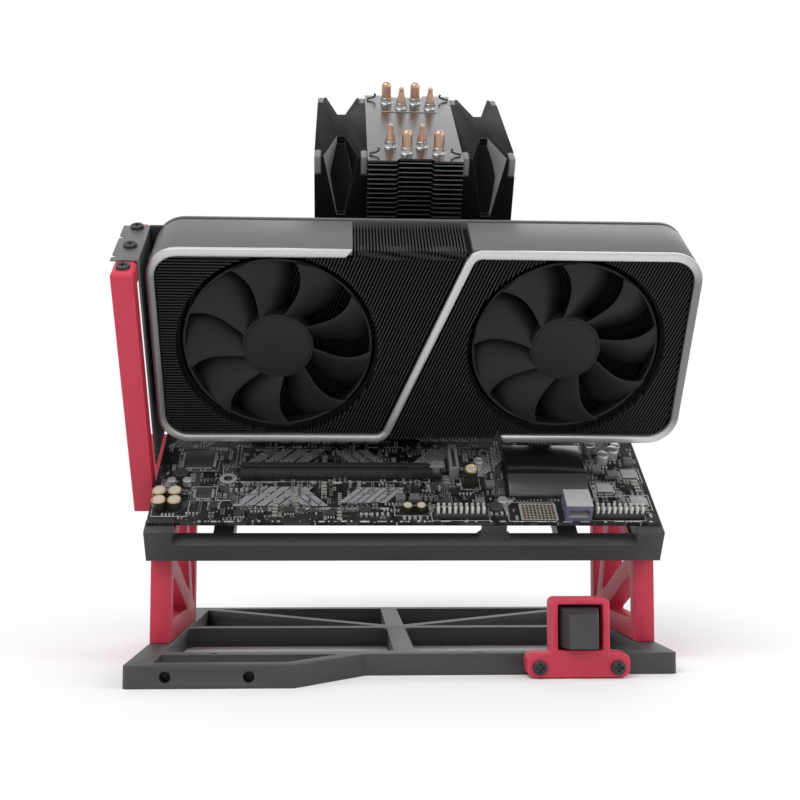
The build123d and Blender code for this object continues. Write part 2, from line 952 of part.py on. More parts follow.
def blade(root, tip, root_chord, tip_chord, root_pitch, tip_pitch, sweep_angle, bow, camber):
    """Swept, bowed, twisted and cambered fan blade about +Z, centred on z = 0, in flat facets."""
    rows = []
    for share in (0.0, 0.5, 1.0):
        radius = root + (tip - root) * share
        chord = root_chord + (tip_chord - root_chord) * share
        pitch = radians(root_pitch + (tip_pitch - root_pitch) * share)
        middle = radians(sweep_angle) * share**1.5 + radians(bow) * 4 * share * (1 - share)
        row = []
        for side, along in ((-1, -1), (-1, 0), (-1, 1), (1, 1), (1, 0), (1, -1)):
            reach = along * chord / 2
            lift = side * blade_thickness / 2 + camber * chord * (1 - along * along)
            turn = middle + (reach * cos(pitch) - lift * sin(pitch)) / radius
            row.append((radius * cos(turn), radius * sin(turn), reach * sin(pitch) + lift * cos(pitch)))
        rows.append(row)
    return facet_loft(rows)


def rotor(hub, depth, blades, form):
    """Fan rotor on +Z: a hub with its back at z = 0 and a ring of blades."""
    body = facet_rod(hub, 2 * blades, 0, depth)
    for step in range(blades):
        body += Location((0, 0, depth / 2), (0, 0, 360 * step / blades)) * form
    return body


def card_fan():
    """Card fan rotor with a rim joined to its blades and a bore for its shaft."""
    sides = 3 * card_fan_blades
    fill = blade_fill * card_fan_depth
    form = blade(
        card_fan_hub - card_fan_rim,
        card_fan_radius - card_fan_rim / 2,
        fill / sin(radians(card_blade_root_pitch)),
        fill / sin(radians(card_blade_tip_pitch)),
        card_blade_root_pitch,
        card_blade_tip_pitch,
        card_blade_sweep,
        card_blade_bow,
        blade_camber,
    )
    body = rotor(card_fan_hub, card_fan_depth, card_fan_blades, form)
    rim = RegularPolygon(card_fan_radius, sides) - RegularPolygon(card_fan_radius - card_fan_rim, sides)
    body += flat_prism(rim, card_fan_depth * 0.2, card_fan_depth * 0.8)
    return body - facet_bore(fan_shaft + fan_running, 2 * small_sides, 0, card_fan_depth - card_fan_cap)


def card_fan_place(u):
    """Fan rotor's back on the rack, its axis towards the front."""
    back = card_front_v + card_fan_front + card_fan_depth
    return Plane(origin=(u, back, card_fan_w), x_dir=(1, 0, 0), z_dir=(0, -1, 0)).location


def card_motors():
    """Fan motors on the floors of the fan bays, each with the shaft that its rotor turns on."""
    shapes = []
    back = card_front_v + card_fan_front + card_fan_depth
    for u in card_fan_places:
        behind = card_bay_floor - back
        shaft_end = behind + card_fan_depth - card_fan_cap - card_shaft_gap
        motor = facet_rod(card_fan_hub - card_fan_cap, large_sides // 2, 0, behind - card_motor_gap)
        motor += facet_rod(fan_shaft, 2 * small_sides, 0, shaft_end)
        shapes.append(facing_front(u, card_bay_floor, card_fan_w) * motor)
    return group(*shapes)


def card_board():
    """Card's own circuit board with the edge connector that stands in the slot."""
    low = card_bottom_w + card_wall
    profile = rectangle(bracket_outer, card_right_u - card_corner, low, card_top_w - card_wall)
    left = slot_left_u + slot_end_wall + slot_contact_gap
    right = slot_right_u - slot_end_wall - slot_contact_gap
    key = slot_left_u + slot_end_wall + slot_key
    foot = slot_floor + slot_contact_gap
    profile += rectangle(left, key - slot_contact_gap, foot, low)
    profile += rectangle(key + slot_key_width + slot_contact_gap, right, foot, low)
    return front_prism(profile, card_board_front, card_board_back)


def card_backplate():
    """Cover over the back of the card's board."""
    plate = rounded(card_left_u, card_right_u, card_bottom_w, card_top_w, card_corner)
    return front_prism(plate, card_board_back, card_board_back + backplate_thickness)


def card_bracket():
    """Bent sheet at the card's end, with a tab that rests on the post."""
    front = card_slot_v - bracket_ahead
    back = card_slot_v + bracket_behind
    top = post_height + bracket_thickness
    plate = block(post_inner, bracket_outer, front, back, bracket_foot, top)
    tab = rectangle(bracket_outer - bracket_tab, bracket_outer, front, back)
    for step in (0.5, 1.5):
        notch_v = card_slot_v - step * slot_pitch
        edge = bracket_outer - bracket_tab
        low = notch_v - bracket_notch_half
        high = notch_v + bracket_notch_half
        tab -= outline((edge, low), (edge + bracket_notch, notch_v), (edge, high))
    for u, v in slot_screw_places()[:2]:
        tab -= Pos(u, v) * RegularPolygon(screw_radius + screw_clearance, small_sides, major_radius=False)
    for step in range(port_count):
        w = card_bottom_w + port_first + step * port_pitch
        plate -= block(post_inner, bracket_outer, *port_span(), w - port_width / 2, w + port_width / 2)
    return plate + flat_prism(tab, post_height, top)


def card_ports():
    """Display sockets that stand through the bracket, each round a narrow mouth."""
    front = post_inner - port_lip
    mouth_v = sum(port_span()) / 2
    half = port_mouth / 2
    shapes = []
    for step in range(port_count):
        w = card_bottom_w + port_first + step * port_pitch
        reach = port_width / 2
        shell = block(front, card_left_u, *port_span(), w - reach, w + reach)
        inside = reach - port_wall
        shell -= block(front, card_left_u - port_wall, mouth_v - half, mouth_v + half, w - inside, w + inside)
        shapes.append(shell)
    return group(*shapes)


def port_span():
    """Display sockets' extent in front of the card's board."""
    return card_board_front - port_height, card_board_front


def cpu_socket():
    """Processor socket with a raised rim round the processor."""
    body = seat_block(socket_size, 0, socket_height + socket_rim)
    return body - seat_block(processor_size + 2 * screw_clearance, socket_height, socket_height + socket_rim)


def seat_block(size, low, high):
    """Square block centred under the cooler."""
    half = size / 2
    return block(cooler_u - half, cooler_u + half, cooler_v - half, cooler_v + half, low, high)


def processor():
    """Processor package with its heat spreader."""
    top = socket_height + processor_height
    carrier = socket_height + processor_carrier
    return seat_block(processor_size, socket_height, carrier) + seat_block(spreader_size, carrier, top)


def cooler_clamp():
    """Cross bar over the contact block with a leg down to the board at each end."""
    low = socket_height + processor_height + cooler_block_height
    half = clamp_length / 2
    edge = clamp_width / 2
    high = low + clamp_thickness
    bar = block(cooler_u - half, cooler_u + half, cooler_v - edge, cooler_v + edge, low, high)
    for side in (-1, 1):
        u = cooler_u + side * (half - edge)
        bar += Pos(u, cooler_v) * facet_rod(clamp_leg, small_sides, 0, low)
    return bar


def ribbed_block(u0, u1, v0, v1, height, grooves, depth):
    """Heat spreading block with grooves along the slope in its top."""
    body = block(u0, u1, v0, v1, 0, height)
    pitch = (u1 - u0) / (2 * grooves + 1)
    for step in range(grooves):
        start = u0 + pitch * (2 * step + 1)
        body -= block(start, start + pitch, v0, v1, height - depth, height)
    return body


def regulator_heatsinks():
    """Grooved blocks beside and behind the processor socket."""
    reach = regulator_length / 2
    side_end = regulator_u + regulator_width
    side = ribbed_block(
        regulator_u, side_end, cooler_v - reach, cooler_v + reach, regulator_height, 3, regulator_groove
    )
    end_v = board_depth - back_regulator_margin
    start_v = end_v - back_regulator_depth
    behind = ribbed_block(
        cooler_u - reach, cooler_u + reach, start_v, end_v, back_regulator_height, 8, back_regulator_groove
    )
    return group(side, behind)


def chipset_heatsink():
    """Low plate over the chipset with a bevelled front."""
    profile = outline(
        (chipset_v, 0),
        (chipset_v + chipset_depth, 0),
        (chipset_v + chipset_depth, chipset_height),
        (chipset_v + chipset_bevel, chipset_height),
        (chipset_v, chipset_nose),
    )
    return side_prism(profile, chipset_u, chipset_u + chipset_width)


def rear_ports():
    """Row of socket shells along the board's left edge, each with a narrow mouth."""
    left = -half_board - port_overhang
    right = left + rear_port_depth
    shapes = []
    for place, levels in enumerate(rear_port_levels):
        start = rear_port_v + place * (rear_port_width + rear_port_gap)
        end = start + rear_port_width
        shell = block(left, right, start, end, 0, levels * rear_port_rise + rear_port_roof)
        for level in range(levels):
            low = level * rear_port_rise + rear_port_sill
            mouth = (start + rear_port_wall, end - rear_port_wall, low, low + port_mouth)
            shell -= block(left, right - rear_port_back_wall, *mouth)
        shapes.append(shell)
    return group(*shapes)


def power_sockets():
    """Main power socket at the board's right edge and processor power socket at its back left."""
    main = power_socket(main_power_u, board_depth - main_power_back, main_power_length)
    small = power_socket(regulator_u, board_depth - small_power_back, small_power_length)
    return group(main, small)


def power_socket(u, v, length):
    """Socket body with two rows of contact wells and a ledge for the plug's catch."""
    body = block(u, u + power_width, v, v + length, 0, power_height)
    for row in (power_wall, power_wall + power_well + power_septum):
        well = (v + power_wall, v + length - power_wall, power_floor, power_height)
        body -= block(u + row, u + row + power_well, *well)
    middle = v + length / 2
    catch = power_catch_width / 2
    edge = u + power_width
    low, high = middle - catch, middle + catch
    return body + block(edge, edge + power_catch, low, high, power_floor, power_catch_top)


def pin_headers():
    """Pin header bodies along the board's front edge."""
    span = (header_v - header_width / 2, header_v + header_width / 2, 0, header_height)
    first = block(header_left_u, header_left_u + header_left_length, *span)
    second = block(header_right_u, header_right_u + header_right_length, *span)
    return group(first, second)


def capacitors():
    """Upright capacitors by the board's front left corner, in its front and round the processor."""
    corner = facet_rod(corner_capacitor_radius, capacitor_sides, 0, corner_capacitor_height)
    row = facet_rod(row_capacitor_radius, capacitor_sides, 0, row_capacitor_height)
    front = facet_rod(front_capacitor_radius, capacitor_sides, 0, front_capacitor_height)
    lone = facet_rod(lone_capacitor_radius, capacitor_sides, 0, lone_capacitor_height)
    shapes = [Pos(u - half_board, v) * corner for u, v in corner_capacitor_places]
    first = cooler_u - row_capacitor_pitch * (row_capacitor_count - 1) / 2
    for step in range(row_capacitor_count):
        shapes.append(Pos(first + row_capacitor_pitch * step, cooler_v + row_capacitor_back) * row)
    for gap in front_capacitor_gaps:
        shapes.append(Pos(header_left_u - gap, front_capacitor_v) * front)
    lone_u = upright_u + upright_width + lone_capacitor_gap
    shapes.append(Pos(lone_u, lone_capacitor_v) * lone)
    return group(*shapes)


def chip(u, v, size):
    """Flat square chip package."""
    half = size / 2
    return block(u - half, u + half, v - half, v + half, 0, chip_height)


def chips():
    """Chip packages on the board's open front part."""
    shapes = [
        chip(large_chip_edge - half_board, large_chip_v, large_chip),
        chip(left_chip_edge - half_board, left_chip_v, small_chip),
    ]
    for share, v in right_chip_places:
        shapes.append(chip(half_board - share * front_space, v, small_chip))
    return group(*shapes)


def edge_connectors():
    """Drive socket at the board's front right and an upright connector beside the lower slot."""
    drive = block(drive_u, drive_u + drive_width, drive_v, drive_v + drive_depth, 0, drive_height)
    mouth = (drive_v, drive_v + drive_throat, drive_sill, drive_sill + port_mouth)
    drive -= block(drive_u + drive_wall, drive_u + drive_width - drive_wall, *mouth)
    end_u = upright_u + upright_width
    end_v = upright_v + upright_length
    upright = block(upright_u, end_u, upright_v, end_v, 0, upright_height)
    well = (upright_v + upright_wall, end_v - upright_wall, upright_floor, upright_height)
    upright -= block(upright_u + upright_wall, end_u - upright_wall, *well)
    return group(drive, upright)


def cooler_fins():
    """Stack of notched fins under a top plate."""
    left = cooler_u - fin_width / 2
    right = cooler_u + fin_width / 2
    front = cooler_v - fin_depth / 2
    back = cooler_v + fin_depth / 2
    third = fin_width / 3
    fin = outline(
        (left, front),
        (left + third - fin_step, front),
        (left + third, front + fin_notch),
        (right - third, front + fin_notch),
        (right - third + fin_step, front),
        (right, front),
        (right, back),
        (right - third + fin_step, back),
        (right - third, back - fin_notch),
        (left + third, back - fin_notch),
        (left + third - fin_step, back),
        (left, back),
    )
    levels = [cooler_top - fin_thickness - step * fin_pitch for step in range(fin_count)]
    return group(*[flat_prism(fin, level, level + fin_thickness) for level in levels])


def pipe_places():
    """Across position and shift up the slope of each heat pipe."""
    first = cooler_u - pipe_pitch * (pipe_count - 1) / 2
    places = []
    for step in range(pipe_count):
        side = 1 if step % 2 == 0 else -1
        places.append((first + pipe_pitch * step, side * pipe_stagger))
    return places


def heat_pipes():
    """Bent heat pipes, each with one blunt end and one drawn out to a point."""
    shapes = []
    top = cooler_top + pipe_tip
    for step, (u, shift) in enumerate(pipe_places()):
        front = cooler_v + shift - pipe_span / 2
        back = cooler_v + shift + pipe_span / 2
        shoulder = top - pipe_taper
        path = Polyline(
            (u, front, shoulder),
            (u, front, pipe_level + pipe_bend),
            (u, front + pipe_bend, pipe_level),
            (u, back - pipe_bend, pipe_level),
            (u, back, pipe_level + pipe_bend),
            (u, back, shoulder),
        )
        polygon = RegularPolygon(pipe_radius, pipe_sides)
        section = Plane(origin=(u, front, shoulder), z_dir=(0, 0, -1)) * polygon
        body = sweep(section, path, transition=Transition.RIGHT)
        ends = (front, back) if step % 2 == 0 else (back, front)
        for v, taper in zip(ends, (pipe_point, pipe_blunt)):
            body += extrude(Pos(u, v, shoulder) * polygon, pipe_taper, taper=taper)
        shapes.append(body)
    return group(*shapes)


def cooler_base():
    """Contact block that the heat pipes run through."""
    half = cooler_block / 2
    low = socket_height + processor_height
    body = seat_block(cooler_block, low, low + cooler_block_height)
    for u, _ in pipe_places():
        channel = facet_rod(pipe_radius + thread_clearance, pipe_sides, 0, cooler_block)
        body -= facing_front(u, cooler_v + half, pipe_level) * channel
    return body


def fan_frame():
    """Square fan frame on +Z: two flanges and a round duct, joined by flat webs along its sides' middles."""
    half = fan_size / 2
    body = block(-half, half, -half, half, 0, fan_depth)
    body -= facet_bore(fan_bore, large_sides, 0, fan_depth)
    reach = half - fan_notch_length
    low = (fan_depth - fan_notch_floor) / 2
    high = (fan_depth + fan_notch_floor) / 2
    notch = outline((half, fan_flange), (half, fan_depth - fan_flange), (reach, high), (reach, low))
    pocket = front_prism(notch, 0, half) & side_prism(notch, 0, half)
    pocket -= facet_rod(fan_bore + fan_duct_wall, large_sides, 0, fan_depth)
    for turn in range(4):
        body -= Rot(0, 0, 90 * turn) * pocket
    for pad in fan_pad_blocks():
        body -= pad
    plate = facet_rod(fan_hub, large_sides // 2, 0, fan_plate)
    strut_end = fan_bore + fan_bore_margin
    for turn in range(4):
        arm = block(fan_hub - fan_plate, strut_end, -fan_strut / 2, fan_strut / 2, 0, fan_plate)
        plate += Rot(0, 0, 90 * turn + 45) * arm
    shaft_end = fan_depth - 2 * fan_rotor_front
    return body + plate + facet_rod(fan_shaft, 2 * small_sides, fan_plate, shaft_end)


def fan_pad_blocks():
    """Soft corner pads on both faces of a fan."""
    half = fan_size / 2
    shapes = []
    for x in (-1, 1):
        for y in (-1, 1):
            across = sorted((x * half, x * (half - fan_corner)))
            along = sorted((y * half, y * (half - fan_corner)))
            shapes.append(block(*across, *along, 0, fan_pad))
            shapes.append(block(*across, *along, fan_depth - fan_pad, fan_depth))
    return shapes


def fan_rotor():
    """Cooler fan rotor with a bore for its shaft."""
    depth = fan_depth - fan_plate - fan_rotor_front
    fill = fan_blade_fill * depth
    form = blade(
        fan_hub - fan_tip_gap,
        fan_bore - fan_tip_gap,
        fill / sin(radians(fan_blade_root_pitch)),
        fill / sin(radians(fan_blade_tip_pitch)),
        fan_blade_root_pitch,
        fan_blade_tip_pitch,
        fan_blade_sweep,
        0.0,
        blade_camber,
    )
    body = rotor(fan_hub, depth, fan_blades, form)
    body -= facet_bore(fan_shaft + fan_running, 2 * small_sides, 0, depth - fan_rotor_front)
    return Pos(0, 0, fan_plate + fan_rotor_gap) * body


def fan_place(u):
    """Fan on the rack, with its axis across the board."""
    return Plane(origin=(u, cooler_v, fan_centre_w), x_dir=(0, 1, 0), z_dir=(1, 0, 0)).location


def key_block(size, y0, y1):
    """Square block on the key's axis."""
    half = size / 2
    return block(key_x - half, key_x + half, y0, y1, key_centre_z - half, key_centre_z + half)


def key_holder():
    """Holder bolted to the base's front: a flange with round ends and a hood round the key's pocket."""
    half = holder_width / 2
    flange_top = holder_lift + holder_height
    flange = rounded(holder_x - half, holder_x + half, holder_lift, flange_top, holder_corner)
    hood = rectangle(key_x - hood_width / 2, key_x + hood_width / 2, holder_lift, hood_height)
    hood = chamfer(hood.vertices().group_by(Axis.Y)[-1], hood_corner)
    body = front_prism(flange + hood, hood_front_y, base_front)
    body -= key_block(key_pocket, hood_front_y, key_plate_y)
    body -= key_block(switch_body, key_plate_y, base_front)
    for side in (-1, 1):
        x = holder_x + side * holder_screw_pitch / 2
        place = facing_front(x, base_front, holder_screw_z)
        body -= place * facet_bore(screw_radius + screw_clearance, small_sides, 0, holder_depth)
    return body


def holder_screws():
    """Screws that hold the key holder to the base."""
    shapes = []
    for side in (-1, 1):
        x = holder_x + side * holder_screw_pitch / 2
        place = facing_front(x, hood_front_y, holder_screw_z)
        shapes.append(place * screw(holder_depth + base_rail - screw_tip_gap))
    return group(*shapes)


def key_switch():
    """Switch housing clipped into the holder's plate."""
    flange_y = key_plate_y - switch_flange
    shape = key_block(switch_rim, flange_y, key_plate_y)
    shape += key_block(switch_body, key_plate_y, key_plate_y + switch_drop)
    place = facing_front(key_x, flange_y, key_centre_z)
    foot = switch_body - switch_flange
    shape += pyramid(place, (foot, foot), (switch_top, switch_top), switch_rise - switch_flange)
    floor_y = key_plate_y - stem_reach + key_travel + key_clearance
    return shape - key_block(stem_size + 2 * key_clearance, key_plate_y - switch_rise, floor_y)


def keycap():
    """Hollow keycap with sloping sides, on a stem that slides in the switch."""
    foot_y = key_plate_y - switch_flange - key_clearance - key_travel
    face_y = foot_y - keycap_height
    foot = facing_front(key_x, foot_y, key_centre_z)
    wall = 2 * keycap_wall
    inside = keycap_foot - wall
    face = (keycap_face_width, keycap_face_height)
    hollow = (keycap_face_width - keycap_wall, keycap_face_height - keycap_wall)
    shape = pyramid(foot, (keycap_foot, keycap_foot), face, keycap_height, keycap_face_drop)
    shape -= pyramid(foot, (inside, inside), hollow, keycap_height - keycap_wall, keycap_face_drop)
    return shape + key_block(stem_size, face_y + keycap_wall / 2, key_plate_y - stem_reach)


os.makedirs("parts", exist_ok=True)

bench_nodes = {
    "base_frame": base_frame(),
    "left_leg": leg(-half_base),
    "right_leg": leg(half_base - leg_thickness),
    "key_holder": key_holder(),
    "holder_screws": holder_screws(),
    "key_switch": key_switch(),
    "keycap": keycap(),
}
rack_nodes = {
    "board_tray": board_tray(),
    "slot_post": slot_post(),
    "slot_screws": slot_screws(),
    "circuit_board": circuit_board(),
    "graphics_slot": expansion_slot(card_slot_v, slot_height, slot_floor),
    "lower_slot": expansion_slot(lower_slot_v, lower_slot_height, lower_slot_floor),
    "graphics_slot_latch": slot_latch(card_slot_v, slot_height),
    "lower_slot_latch": slot_latch(lower_slot_v, lower_slot_height),
    "memory_slots": memory_slots(),
    "memory_modules": memory_modules(),
    "card_trim": card_trim(),
    "card_housing": card_housing(),
    "card_fins": card_fins(),
    "card_motors": card_motors(),
    "card_board": card_board(),
    "card_backplate": card_backplate(),
    "card_bracket": card_bracket(),
    "card_ports": card_ports(),
    "cpu_socket": cpu_socket(),
    "processor": processor(),
    "cooler_clamp": cooler_clamp(),
    "regulator_heatsinks": regulator_heatsinks(),
    "chipset_heatsink": chipset_heatsink(),
    "rear_ports": rear_ports(),
    "power_sockets": power_sockets(),
    "pin_headers": pin_headers(),
    "capacitors": capacitors(),
    "chips": chips(),
    "edge_connectors": edge_connectors(),
    "cooler_fins": cooler_fins(),
    "heat_pipes": heat_pipes(),
    "cooler_base": cooler_base(),
}
card_rotor = card_fan()
for side, u, turn in zip(("left", "right"), card_fan_places, (card_fan_turn, 0.0)):
    rack_nodes[f"card_fan_{side}"] = card_fan_place(u) * Rot(0, 0, turn) * card_rotor
frame = fan_frame()
cooler_rotor = fan_rotor()
for side, u in (("left", fan_left_u), ("right", fan_right_u)):
    rack_nodes[f"fan_frame_{side}"] = fan_place(u) * frame
    rack_nodes[f"fan_rotor_{side}"] = fan_place(u) * cooler_rotor
    rack_nodes[f"fan_pads_{side}"] = fan_place(u) * group(*fan_pad_blocks())
for name, u in zip(("memory_latch_inner", "memory_latch_outer"), memory_places()):
    rack_nodes[name] = memory_latch_place(u) * latch(memory_latch_height, memory_latch_nose)

for name, shape in bench_nodes.items():
    export_step(shape, f"parts/{name}.step")
for name, shape in rack_nodes.items():
    export_step(RACK * shape, f"parts/{name}.step")
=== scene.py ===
import json
import math
import random

import bmesh
import bpy
from mathutils import Matrix, Vector


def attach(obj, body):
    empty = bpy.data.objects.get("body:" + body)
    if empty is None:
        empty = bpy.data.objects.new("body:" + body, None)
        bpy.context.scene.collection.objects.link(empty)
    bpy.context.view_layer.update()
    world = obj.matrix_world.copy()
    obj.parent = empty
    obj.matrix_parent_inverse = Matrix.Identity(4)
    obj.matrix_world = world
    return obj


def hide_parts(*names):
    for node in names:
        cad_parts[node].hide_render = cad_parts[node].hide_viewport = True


bl_info = {
    "name": "Open air test bench",
    "version": (1, 0, 0),
    "blender": (4, 5, 0),
    "location": "View3D > Sidebar > Bench",
    "description": "Dresses the packed test bench: prints, card, cooler, board and power key",
    "category": "Object",
}

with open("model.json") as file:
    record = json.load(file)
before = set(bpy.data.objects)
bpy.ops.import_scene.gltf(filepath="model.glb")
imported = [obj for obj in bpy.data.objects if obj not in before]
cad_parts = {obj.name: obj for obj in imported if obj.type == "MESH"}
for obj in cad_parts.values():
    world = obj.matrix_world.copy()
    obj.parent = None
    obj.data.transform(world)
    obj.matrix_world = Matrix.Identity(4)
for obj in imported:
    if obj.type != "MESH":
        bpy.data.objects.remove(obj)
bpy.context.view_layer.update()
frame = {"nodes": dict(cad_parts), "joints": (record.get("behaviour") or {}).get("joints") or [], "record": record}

# Lengths in the code are millimetres, and a piece's place turns them into metres.
MM = 0.001
NODES = frame["nodes"]
JOINTS = {joint["name"]: joint for joint in frame["joints"]}
NODE_BODY = {node: body for body, nodes in frame["record"]["behaviour"]["bodies"].items() for node in nodes}

# The rack: x along the board's front edge, y up the slope, z out of the board
FAN_SPIN = JOINTS["card_fan_left_spin"]
CARD_FAN_U = (-57.7, 72.0)
CARD_FAN_W = 62.4
SPIN_V = 50.0
ACROSS = Vector((1, 0, 0))
SLOPE = -Vector(FAN_SPIN["axis"]).normalized()
OUT = ACROSS.cross(SLOPE)
TURN = Matrix((ACROSS, SLOPE, OUT)).transposed()
CORNER = Vector(FAN_SPIN["pos_m"]) - TURN @ Vector((CARD_FAN_U[0], SPIN_V, CARD_FAN_W)) * MM
RACK = Matrix.Translation(CORNER) @ TURN.to_4x4() @ Matrix.Scale(MM, 4)
BENCH = Matrix.Scale(MM, 4)
RACK_TILT = math.atan2(SLOPE.z, SLOPE.y)

# Sizes that the dressed pieces share with the solids
CARD_LEFT = -113.3
CARD_RIGHT = 128.7
CARD_LOW = 13.4
CARD_HIGH = 110.8
CARD_CORNER = 14.0
CARD_WALL = 3.8
CARD_BACK = 77.3
FIN_FACE = 46.0
CORE_FACE = 51.0
BAY_FLOOR = 66.0
BAY_RADIUS = 43.8
DIAGONAL_FOOT = -9.3
DIAGONAL_HEAD = 27.2
TRIM_TOP_END = -24.5
TRIM_BOTTOM_END = 45.6
COOLER_U = 5.0
COOLER_V = 159.8
COOLER_TOP = 128.0
FIN_BOTTOM = 44.0
FIN_WIDTH = 45.0
FIN_DEPTH = 102.0
FIN_NOTCH = 3.0
FIN_STEP = 1.4
PIPE_RADIUS = 2.5
PIPE_PITCH = 7.55
PIPE_SPAN = 69.0
PIPE_STAGGER = 4.4
PIPE_TOP = 139.0
PIPE_LEVEL = 15.0
PIPE_BEND = 9.0
COOLER_FAN_U = (-42.5, 27.5)
COOLER_FAN_W = 82.0
COOLER_FAN_DEPTH = 25.0
HALF_BOARD = 114.3
BOARD_DEPTH = 244.0
HOLDER_X = 69.8
KEY_X = 70.6
KEY_FOOT_Y = -102.8
KEY_Z = 21.0
KEY_HEIGHT = 11.6
SLOT_PITCH = 20.32
GRAPHICS_SLOT_V = 78.1
LOWER_SLOT_V = GRAPHICS_SLOT_V - 2 * SLOT_PITCH
POST_U = -120.85
POST_TOP = 105.0
TAB_THICKNESS = 0.8
HOLDER_FRONT_Y = -107.5
HOLDER_SCREW_REACH = 16.35
HOLDER_SCREW_Z = 4.6
BASE_TOP = 9.0
RAIL_SCREWS = ((-81.8, -91.0), (30.1, -91.0))
BOARD_HOLES = ((-81.3, 34.0), (73.64, 34.0), (-81.3, 214.34), (73.64, 237.2))
HEADER_U = (14.3, 85.9)
HEADER_V = (3.73, 6.27)
HEADER_PINS = 9
PIN_PITCH = 2.54
MEMORY_U = (72.0, 82.0)
LEFT_PARTS_U = 40.0
RIGHT_PARTS_U = 60.0
CARD_FAN_BACK = 57.0
CARD_FAN_REST = {"left": 20.0, "right": 0.0}

# Sizes that only the dressing has
FIN_CLEAR = 0.3
FIN_LIP = 0.6
FIN_SAMPLE = 0.3
SHORTEST_FIN = 1.0
BAY_CLEAR = 1.2
BAY_FIN_DEPTH = 5.0
BAY_FIN_RISE = 2.4
MOTOR_CLEAR = 18.0
PLATE_THICKNESS = 1.0
PLATE_GAP = 1.4
CLIP_RADIUS = 0.55
RING_HEIGHT = 0.1
INK = 0.05
TRACK_WIDTH = 0.32
FRAME_LINE = 0.28
TINY_GRID = 0.8
TINY_CELL = 1.5

# Camera: its place in millimetres, and its angles in degrees
CAMERA_PLACE = (-28.8, -599.7, 79.6)
CAMERA_PITCH = 4.13
CAMERA_YAW = 2.81
CAMERA_ROLL = 0.12

# Angles in degrees past which an edge is rounded, or stays sharp in the shading
BEVEL_ANGLE = 28.0
SMOOTH = 32.0
SMOOTH_BLADE = 50.0
SMOOTH_HUB = 38.0
SMOOTH_CAN = 25.0

# An item to repeat is made at the origin, and a place may leave it unturned and at its own size.
ITEM_PLACE = Matrix.Identity(4)
STILL = (0.0, 0.0, 0.0)
FULL = (1.0, 1.0, 1.0)


class FinishSettings(bpy.types.PropertyGroup):
    """Colours of the main finishes."""

    print_grey: bpy.props.FloatVectorProperty(
        name="Frame print", description="Base and tray", default=(0.036, 0.0355, 0.0365),
        subtype="COLOR", min=0, max=1)
    print_red: bpy.props.FloatVectorProperty(
        name="Red print", description="Legs, slot post and key holder", default=(0.5, 0.026, 0.058),
        subtype="COLOR", min=0, max=1)
    card_grey: bpy.props.FloatVectorProperty(
        name="Card housing", description="Painted walls of the card", default=(0.118, 0.118, 0.1205),
        subtype="COLOR", min=0, max=1)
    trim_silver: bpy.props.FloatVectorProperty(
        name="Card trim", description="Bright ribbon on the card's face", default=(0.6, 0.6, 0.605),
        subtype="COLOR", min=0, max=1)


class StageSettings(bpy.types.PropertyGroup):
    """Floor, light and camera."""

    floor_size: bpy.props.FloatProperty(
        name="Floor size", description="Side of the floor", default=16.0, unit="LENGTH")
    floor_tone: bpy.props.FloatProperty(
        name="Floor tone", description="Brightness of the floor", default=0.94, min=0, max=1,
        subtype="FACTOR")
    fade_start: bpy.props.FloatProperty(
        name="Fade start", description="Distance at which the floor begins to turn white", default=0.16,
        unit="LENGTH")
    fade_end: bpy.props.FloatProperty(
        name="Fade end", description="Distance at which the floor is white", default=0.42, unit="LENGTH")
    room_light: bpy.props.FloatProperty(
        name="Room light", description="Strength of the even light round the object", default=0.72, min=0)
    key_light: bpy.props.FloatProperty(
        name="Key light", description="Power of the large lamp above the front", default=9.0, unit="POWER")
    lens: bpy.props.FloatProperty(
        name="Lens", description="Camera's focal length", default=53.28, min=10, max=300)


class PrintSettings(bpy.types.PropertyGroup):
    """Printed frame and its screws."""

    edge: bpy.props.FloatProperty(
        name="Edge", description="Width of the rounded edges", default=0.6 * MM, unit="LENGTH", precision=5)
    layer: bpy.props.FloatProperty(
        name="Layer", description="Height of one printed layer", default=0.2 * MM, unit="LENGTH",
        precision=5)
    recess: bpy.props.FloatProperty(
        name="Recess", description="Reach of the cross recess in the screws' heads", default=1.75 * MM,
        unit="LENGTH", precision=5)


class CardSettings(bpy.types.PropertyGroup):
    """Graphics card."""

    fin_pitch: bpy.props.FloatProperty(
        name="Fin pitch", description="Distance from fin to fin", default=1.4 * MM, unit="LENGTH",
        precision=5)
    fin_thickness: bpy.props.FloatProperty(
        name="Fin thickness", description="Thickness of a fin", default=0.55 * MM, unit="LENGTH",
        precision=5)
    blades: bpy.props.IntProperty(
        name="Blades", description="Blades of each card fan", default=9, min=3, max=15)
    trim_edge: bpy.props.FloatProperty(
        name="Trim edge", description="Width of the trim's bright edge", default=0.75 * MM, unit="LENGTH",
        precision=5)


class CoolerSettings(bpy.types.PropertyGroup):
    """Tower cooler."""

    fins: bpy.props.IntProperty(name="Fins", description="Fins in the stack", default=36, min=8, max=60)
    fin_thickness: bpy.props.FloatProperty(
        name="Fin thickness", description="Thickness of a fin", default=0.5 * MM, unit="LENGTH", precision=5)
    blades: bpy.props.IntProperty(
        name="Blades", description="Blades of each cooler fan", default=7, min=3, max=13)


class BoardSettings(bpy.types.PropertyGroup):
    """Circuit board."""

    parts: bpy.props.IntProperty(
        name="Small parts", description="Tiny parts tried on the board", default=2200, min=0, max=6000)
    seed: bpy.props.IntProperty(name="Seed", description="Layout of the tiny parts", default=11, min=0)
    contact_pitch: bpy.props.FloatProperty(
        name="Contact pitch", description="Distance between slot contacts", default=1.0 * MM,
        unit="LENGTH", precision=5)


# Shared surface effects

